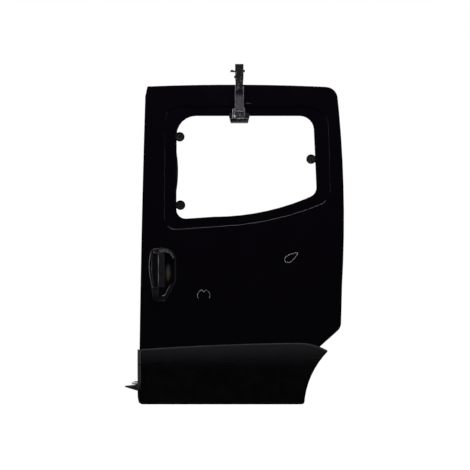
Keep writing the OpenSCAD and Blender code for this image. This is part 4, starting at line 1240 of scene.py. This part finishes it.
# The plates start a little inside the foot, so that no gap shows.
BURIED = FOOT_FRONT + 0.6
HOOK_MIDDLE = HOOK_TO_FRONT_EDGE
LIP_HALF = 35.5
TONGUE_HALF = 17.5
GUSSET_STARTS = (363.5, 405.0)
GUSSET_THICKNESS = 5.5
LIP_SIDE = [(BURIED, 1113), (FOOT_FRONT - 5, 1113), (FOOT_FRONT - 9, 1109.8), (FOOT_FRONT - 9, 1099.8),
            (BURIED, 1099.8)]
TONGUE_SIDE = [(BURIED, 1151), (FOOT_FRONT - 1.6, 1150), (FOOT_FRONT - 1.6, 1114), (BURIED, 1113.5)]
GUSSET_SIDE = [(BURIED, 1154), (FOOT_FRONT - 2, 1152), (FOOT_FRONT - 14, 1113), (BURIED, 1112.5)]


def side_plate(mesh, start, end, outline):
    """Plate between two places across the hook, from a side outline of (y, z) corners in millimetres."""
    layered(mesh, [[mesh.verts.new(at(x, y, z)) for y, z in outline] for x in (start, end)])


lip = bmesh.new()
side_plate(lip, HOOK_MIDDLE - LIP_HALF, HOOK_MIDDLE + LIP_HALF, LIP_SIDE)
made_of("hook_lip", lip, hook_steel)

tongue = bmesh.new()
side_plate(tongue, HOOK_MIDDLE - TONGUE_HALF, HOOK_MIDDLE + TONGUE_HALF, TONGUE_SIDE)
made_of("hook_tongue", tongue, plate_steel)

ribs = bmesh.new()
for x in GUSSET_STARTS:
    side_plate(ribs, x, x + GUSSET_THICKNESS, GUSSET_SIDE)
soften(made_of("hook_gussets", ribs, plate_steel), 0.8)

# %% [markdown]
# ## Welds of the hook
#
# The hook was joined by hand with a stick welder, which leaves a rope with a ripple for each drop. Old ropes
# went grey with the channel's zinc. The ones round the left gusset and along the lip are pale grey: weld
# metal, and a painted highlight of the light that the lip's top and the gusset catch from above. A rope is
# a round section swept from end to end, whose width goes up and down and wavers as a hand does.

# %% A hand-laid rope of weld
STEP_OF_ROPE = 0.8
ROPE_SIDES = 8
ROPE_FLATNESS = 0.9
RIPPLE = 0.14
WAVER = 0.06
# Towards the viewer, and a hair up.
FORWARD = Vector((0, -1, 0.01))


def weld_rope(mesh, start, end, radius_mm):
    """A hand-laid weld between two door places: a round rope whose ripples come every 1.6 mm."""
    start, end = at(*start), at(*end)
    count = max(4, int((end - start).length / (STEP_OF_ROPE * MM)))
    path = [start.lerp(end, n / count) for n in range(count + 1)]
    swell = [radius_mm * (1.0 + RIPPLE * (n % 2) + random.uniform(-WAVER, WAVER))
             for n in range(count + 1)]
    turns = [math.tau * k / ROPE_SIDES for k in range(ROPE_SIDES)]
    circle = [(math.cos(turn), ROPE_FLATNESS * math.sin(turn) * radius_mm) for turn in turns]
    sweep(mesh, path, [FORWARD] * (count + 1), circle, swell)

# %% Grey welds, and pale welds with a painted highlight
CHANNEL_WELD_FOOT = 1142
CHANNEL_WELD_TOP = 1156
HEAD_WELD_FOOT = 1224
HEAD_WELD_TOP = 1239
GUSSET_FOOT = 1113
GUSSET_WAIST = 1132
GUSSET_TOP = 1150

random.seed(3)
ropes = bmesh.new()
channel_low, channel_high = door_box("hook_channel")
for x in (channel_low.x - 0.5, channel_high.x + 0.5):
    weld_rope(ropes, (x, FOOT_FRONT + 1, CHANNEL_WELD_FOOT), (x, FOOT_FRONT + 1, CHANNEL_WELD_TOP), 2.2)
channel_front = channel_low.y + 1.5
across_foot = CHANNEL_WELD_FOOT - 1
weld_rope(ropes, (channel_low.x, channel_front, across_foot),
          (channel_high.x, channel_front, across_foot), 2.4)
head_front = door_box("hook_head")[0].y + 0.5
for x in (channel_low.x + 3.5, channel_high.x - 3.5):
    weld_rope(ropes, (x, head_front, HEAD_WELD_FOOT), (x, head_front, HEAD_WELD_TOP), 1.8)
made_of("hook_welds", ropes, galvanised_steel)

# Welds round the left gusset and along the lip, whose pale grey is partly a painted highlight.
pale_welds = bmesh.new()
for foot_x, waist_x, top_x in ((361.0, 364.0, 361.5), (371.5, 368.5, 371.5)):
    waist = (waist_x, FOOT_FRONT - 3, GUSSET_WAIST)
    weld_rope(pale_welds, (foot_x, FOOT_FRONT - 8, GUSSET_FOOT), waist, 1.9)
    weld_rope(pale_welds, waist, (top_x, FOOT_FRONT - 1, GUSSET_TOP), 1.9)
lip_weld_half = LIP_HALF - 1
lip_top = GUSSET_FOOT - 0.2
weld_rope(pale_welds, (HOOK_MIDDLE - lip_weld_half, FOOT_FRONT - 7, lip_top),
          (HOOK_MIDDLE + lip_weld_half, FOOT_FRONT - 7, lip_top), 1.0)
made_of("hook_pale_welds", pale_welds, weld_metal)

# %% [markdown]
# ## Split pin and bolt head
#
# A split pin keeps the hook's cross pin in place: its legs are bent down on one side and its eye shows on the
# other. It is a round wire swept along two short bent paths. The clamping bolt ends in a low head with six
# flats, spun in six steps.

# %% Split pin and bolt head
WIRE_RADIUS = 1.7
WIRE_SIDES = 8
WIRE_IN_FRONT = 4.0
WIRE_TURNS = [math.tau * k / WIRE_SIDES for k in range(WIRE_SIDES)]
WIRE = [(WIRE_RADIUS * math.cos(turn), WIRE_RADIUS * math.sin(turn)) for turn in WIRE_TURNS]
PIN_LEGS = [(11.5, -5.0), (10.8, 0.6), (7.6, 4.0), (3.5, 4.0), (0.6, 0.8), (-0.4, -4.0)]
PIN_EYE = [(-6.0, 3.4), (-3.2, 4.4), (-1.6, 2.0), (-2.2, -2.4), (-4.6, -3.8)]
BOLT_HEAD = [(0, 2.2), (4.4, 2.2), (5.4, 1.4), (5.6, -0.4), (0, -0.4)]

pin_wire = bmesh.new()
pin_low, pin_high = door_box("hook_cross_pin")
pin_middle = (pin_low + pin_high) / 2
for end_x, bends in ((pin_low.x, PIN_LEGS), (pin_high.x, PIN_EYE)):
    path = [at(end_x + x, pin_middle.y - WIRE_IN_FRONT, pin_middle.z + z) for x, z in bends]
    sweep(pin_wire, path, [FORWARD] * len(path), WIRE)
made_of("hook_split_pin", pin_wire, hook_steel)

bolt_head = bmesh.new()
bolt_low, bolt_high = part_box("hook_bolt")
bolt_end = Vector(((bolt_low.x + bolt_high.x) / 2, bolt_low.y, (bolt_low.z + bolt_high.z) / 2))
spin(bolt_head, bolt_end, Vector((0, -1, 0)), BOLT_HEAD, steps=6)
made_of("hook_bolt_head", bolt_head, zinc_steel, crease=25)

# %% [markdown]
# ## Strip and ridge of the grip
#
# The grip is one flap: a polished face that curves back to the left, a raised ridge where fingertips rest,
# and a matt strip behind it that hides the bowl's depth. The strip has one section from top to foot, so it
# is that outline at two heights. The ridge is a bead whose ends fade out, in pale nylon that is a painted
# highlight. Both swing with the grip.

# %% Strip and ridge of the grip
STRIP_PROFILE = [(74.6, -8.4), (80, -7.6), (86, -6.4), (92, -4.8), (97, -2.9), (98.4, -1.4), (97.2, -0.4),
                 (91, -2.2), (84, -3.9), (74.6, -5.0)]
GRIP_FOOT = 456
GRIP_TOP = 585
EDGE_BEAD = [(-1.1, -0.4), (-0.9, 0.5), (0, 1.1), (0.9, 0.5), (1.1, -0.4)]
RIDGE_X = 74.4
RIDGE_Y = -9.75
RIDGE_MARGIN = 3
RIDGE_STEPS = 16
RIDGE_FACING = Vector((0.35, -1, 0))
RIDGE_END = 0.35
RIDGE_GROWTH = 0.25

strip = bmesh.new()
layered(strip, [[strip.verts.new(at(x, y, z)) for x, y in STRIP_PROFILE] for z in (GRIP_FOOT, GRIP_TOP)])
grip_strip = made_of("handle_grip_strip", strip, strip_nylon, body="handle_pull", crease=25)
soften(grip_strip, 0.6)

ridge = bmesh.new()
ridge_length = GRIP_TOP - GRIP_FOOT - 2 * RIDGE_MARGIN
ridge_path, ridge_swell = [], []
for n in range(RIDGE_STEPS + 1):
    ridge_path.append(at(RIDGE_X, RIDGE_Y, GRIP_FOOT + RIDGE_MARGIN + ridge_length * n / RIDGE_STEPS))
    from_end = min(n, RIDGE_STEPS - n)
    ridge_swell.append(min(1.0, RIDGE_END + RIDGE_GROWTH * from_end))
sweep(ridge, ridge_path, [RIDGE_FACING] * len(ridge_path), EDGE_BEAD, ridge_swell)
made_of("handle_grip_ridge", ridge, highlight_nylon, body="handle_pull", crease=60)

# %% [markdown]
# ## Cap, flange and highlight edges of the frame
#
# A dusty cap closes the bowl above and a flange below. The frame's left edge and the flange's inner edge
# carry pale beads, whose pale grey is a painted highlight. In black on black it is only these edges that show
# the handle's form. Paint could draw them, but a rounded bead also catches the ceiling light, so they are
# swept. All of it follows the frame's own bow.

# %% Cap and flange of the frame
SURROUND_X = 39
SURROUND_Z = 520
PLATE_SUNK = 0.4
PLATE_THICKNESS = 2.4
TOP_CAP = [(78, 587), (78, 602), (88, 604), (100, 604), (111, 601), (121, 594.5), (129, 585), (134, 572),
           (130, 564), (127, 574), (120, 583), (110, 589), (104, 590), (102, 594), (99, 590), (90, 587.5),
           (86, 592), (83, 587)]
LOWER_FLANGE = [(119.2, 462), (131, 476), (136, 472), (128, 454), (112, 428), (103, 412), (97, 407.5),
                (80, 406), (80, 422), (88.3, 422.3), (99, 423), (101.8, 429.2), (107.6, 440.8),
                (113.5, 452.5)]


def frame_front(z):
    """Depth of the frame's front face at a height, in door millimetres."""
    face = seat("handle_surround", SURROUND_X, SURROUND_Z, side=-1)[0]
    return (face.y - FOOT.y) / MM + bow_y(z) - bow_y(SURROUND_Z)


def frame_plate(mesh, outline):
    """Plate that lies in the handle's frame, from an outline of (x, z) corners."""
    layered(mesh, [[mesh.verts.new(at(x, frame_front(z) + PLATE_SUNK + back, z)) for x, z in outline]
                   for back in (0, PLATE_THICKNESS)])


cap = bmesh.new()
frame_plate(cap, TOP_CAP)
made_of("handle_top_cap", cap, dusty_nylon, crease=30)
flange = bmesh.new()
frame_plate(flange, LOWER_FLANGE)
made_of("handle_flange", flange, inside_nylon, crease=30)

# %% Painted highlight edges of the frame
# Corners of an edge with how thick its bead is there.
LEFT_EDGE = {(50, 596): 0.5, (46, 590): 0.8, (41.8, 572.5): 1.1, (39.6, 553): 1.1, (38.9, 537.6): 1.1,
             (40.2, 514.4): 1.0, (43.6, 487.2): 0.9, (47.5, 471.7): 1.0, (51.0, 456.3): 1.1,
             (54.5, 440): 0.8, (57, 427): 0.5}
FLANGE_EDGE = {(120, 463): 0.5, (113.5, 452.5): 0.7, (107.6, 440.8): 0.9, (101.8, 429.2): 1.1,
               (98.4, 423): 1.2, (88.3, 422.3): 0.6}
EDGE_PROUD = 0.3

edges = bmesh.new()
for edge in (LEFT_EDGE, FLANGE_EDGE):
    path = [at(x, frame_front(z) - EDGE_PROUD, z) for x, z in edge]
    sweep(edges, path, [Vector((0, -1, 0))] * len(path), EDGE_BEAD, list(edge.values()))
made_of("handle_highlight_edges", edges, highlight_nylon, crease=60)

# %% [markdown]
# ## Front return of the cladding
#
# At its front end the cladding turns round the door's edge, to hide the folded hem. The corner stands out
# to the side, where the sun has faded it, and its colour is painted paler upwards, partly as that fade and
# partly as painted light, so that it shows as a pale upright line. It is one section at many heights,
# because the cladding's face swells and turns in below, and each layer looks its depth up there.

# %% Front return of the cladding
RETURN_PROFILE = [(-6.6, 15), (-7.2, 8), (-5.8, 3.6), (-2, 1.4), (6, -0.3), (6.6, 1.2), (-0.4, 3.2),
                  (-3.8, 5.6), (-5.2, 9), (-4.6, 15)]
RETURN_FOOT = 5
RETURN_TOP = 214
RETURN_STEPS = 28
TUCK = 5.5
TUCK_HEIGHT = 32
FACE_X = 22
FACE_FOOT = 14
FACE_TOP = 205

front_return = bmesh.new()
layers = []
for n in range(RETURN_STEPS + 1):
    z = RETURN_FOOT + (RETURN_TOP - RETURN_FOOT) * n / RETURN_STEPS
    tuck = TUCK * max(0.0, 1 - (z - RETURN_FOOT) / TUCK_HEIGHT) ** 2
    face = seat("lower_cladding", FACE_X, min(max(z, FACE_FOOT), FACE_TOP), side=-1)[0]
    depth = (face - FOOT).y / MM
    layers.append([front_return.verts.new(at(x + tuck if x < 0 else x, depth + y, z))
                   for x, y in RETURN_PROFILE])
layered(front_return, layers)
made_of("cladding_return", front_return, edge_plastic, crease=50)

# %% [markdown]
# ## Rod clips
#
# The release unit pulls both latches through thin rods. A rod would rattle against the pressing, so moulded
# clips hold it. A clip is a side outline that is wide at its foot and closes over the rod. It is as tall as
# the gap there, because the pressing comes and goes in steps under the straight rod.

# %% Rod clips
ROD_HEIGHT = 534.7
ROD_DEPTH = 73.4
OVER_ROD = 4.4
CLIP_TALL = 11.8
CLIP_HALF_LENGTH = 5
CLIP_SIDE = [(-6.5, -1.0), (-6.5, 2.2), (-4.6, 3.4), (-4.4, 7.6), (-2.6, CLIP_TALL), (2.6, CLIP_TALL),
             (4.4, 7.6), (4.6, 3.4), (6.5, 2.2), (6.5, -1.0)]

rod_clips = bmesh.new()
for x in (150, 330, 470, 610, 690):
    found = seat("inner_panel", x, ROD_HEIGHT)
    if found:
        depth = (found[0] - FOOT).y / MM
        stretch = (ROD_DEPTH + OVER_ROD - depth) / CLIP_TALL
        layered(rod_clips, [[rod_clips.verts.new(at(x + step, depth + up * stretch, ROD_HEIGHT + aside))
                             for aside, up in CLIP_SIDE] for step in (-CLIP_HALF_LENGTH, CLIP_HALF_LENGTH)])
made_of("rod_clips", rod_clips, white_nylon, crease=30)

# %% [markdown]
# ## Bell crank
#
# A bell crank on the release unit turns the handle's pull into the rods' push. It is stamped from plate:
# three arms round one pivot, each the same outline stretched to its own length. Half an arm's outline is
# written, and mirrored over the arm's own line. Pins join the rods to the arms' ends.

# %% Bell crank
CRANK_MIDDLE = (239, 569)
CRANK_ARMS = ((-33, -34), (34, -34), (2, 24))
CRANK_GAP = 0.8
CRANK_THICKNESS = 2.0
PIN_FOOT = 1.6
PIVOT_PIN = [(0, 5.2), (3.2, 5.0), (4.6, 3.6), (4.6, 2.2), (8.2, 2.0), (8.2, -0.4), (0, -0.4)]
JOINT_PIN = [(0, 4.4), (2.4, 4.2), (3.0, 3.2), (3.0, -1.6), (0, -1.6)]
INTO_CABIN = Vector((0, 1, 0))

crank = bmesh.new()
crank_face = seat("release_unit", *CRANK_MIDDLE)[0]
crank_depth = (crank_face - FOOT).y / MM + CRANK_GAP
crank_x, crank_z = CRANK_MIDDLE
for arm_x, arm_z in CRANK_ARMS:
    along = Vector((arm_x, arm_z)).normalized()
    side = Vector((-along.y, along.x))
    reach = Vector((arm_x, arm_z)).length
    half_outline = ((-7, 4), (-3, 8), (6, 7.5), (reach - 6, 4.6), (reach, 5.4), (reach + 4.4, 3.2))
    outline = [along * far + side * half for far, half in half_outline]
    outline += [2 * along * along.dot(corner) - corner for corner in reversed(outline)]
    layered(crank, [[crank.verts.new(at(crank_x + corner.x, crank_depth + up, crank_z + corner.y))
                     for corner in outline] for up in (0.0, CRANK_THICKNESS)])
    joint = at(crank_x + arm_x, crank_depth + PIN_FOOT, crank_z + arm_z)
    spin(crank, joint, INTO_CABIN, JOINT_PIN, steps=16)
spin(crank, at(crank_x, crank_depth + PIN_FOOT, crank_z), INTO_CABIN, PIVOT_PIN, steps=24)
made_of("bell_crank", crank, zinc_steel, crease=30)

# %% [markdown]
# ## Spring clips of the roller pins
#
# The rollers are kept on their pins by spring clips in a groove. Each is a small cap on the pin's upper end,
# found from the pin's own box.

# %% Spring clips of the roller pins
SPRING_CLIP = [(0, 1.0), (3.4, 1.0), (6.6, 0.8), (7.0, 0.2), (6.6, -0.3), (0, -0.3)]
CLIP_SUNK = 0.2

spring_clips = bmesh.new()
for pin_name in ("upper_roller_pin", "lower_guide_pin_front", "lower_guide_pin_rear"):
    low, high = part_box(pin_name)
    top = Vector(((low.x + high.x) / 2, (low.y + high.y) / 2, high.z - CLIP_SUNK * MM))
    spin(spring_clips, top, Vector((0, 0, 1)), SPRING_CLIP)
made_of("spring_clips", spring_clips, zinc_steel, crease=30)
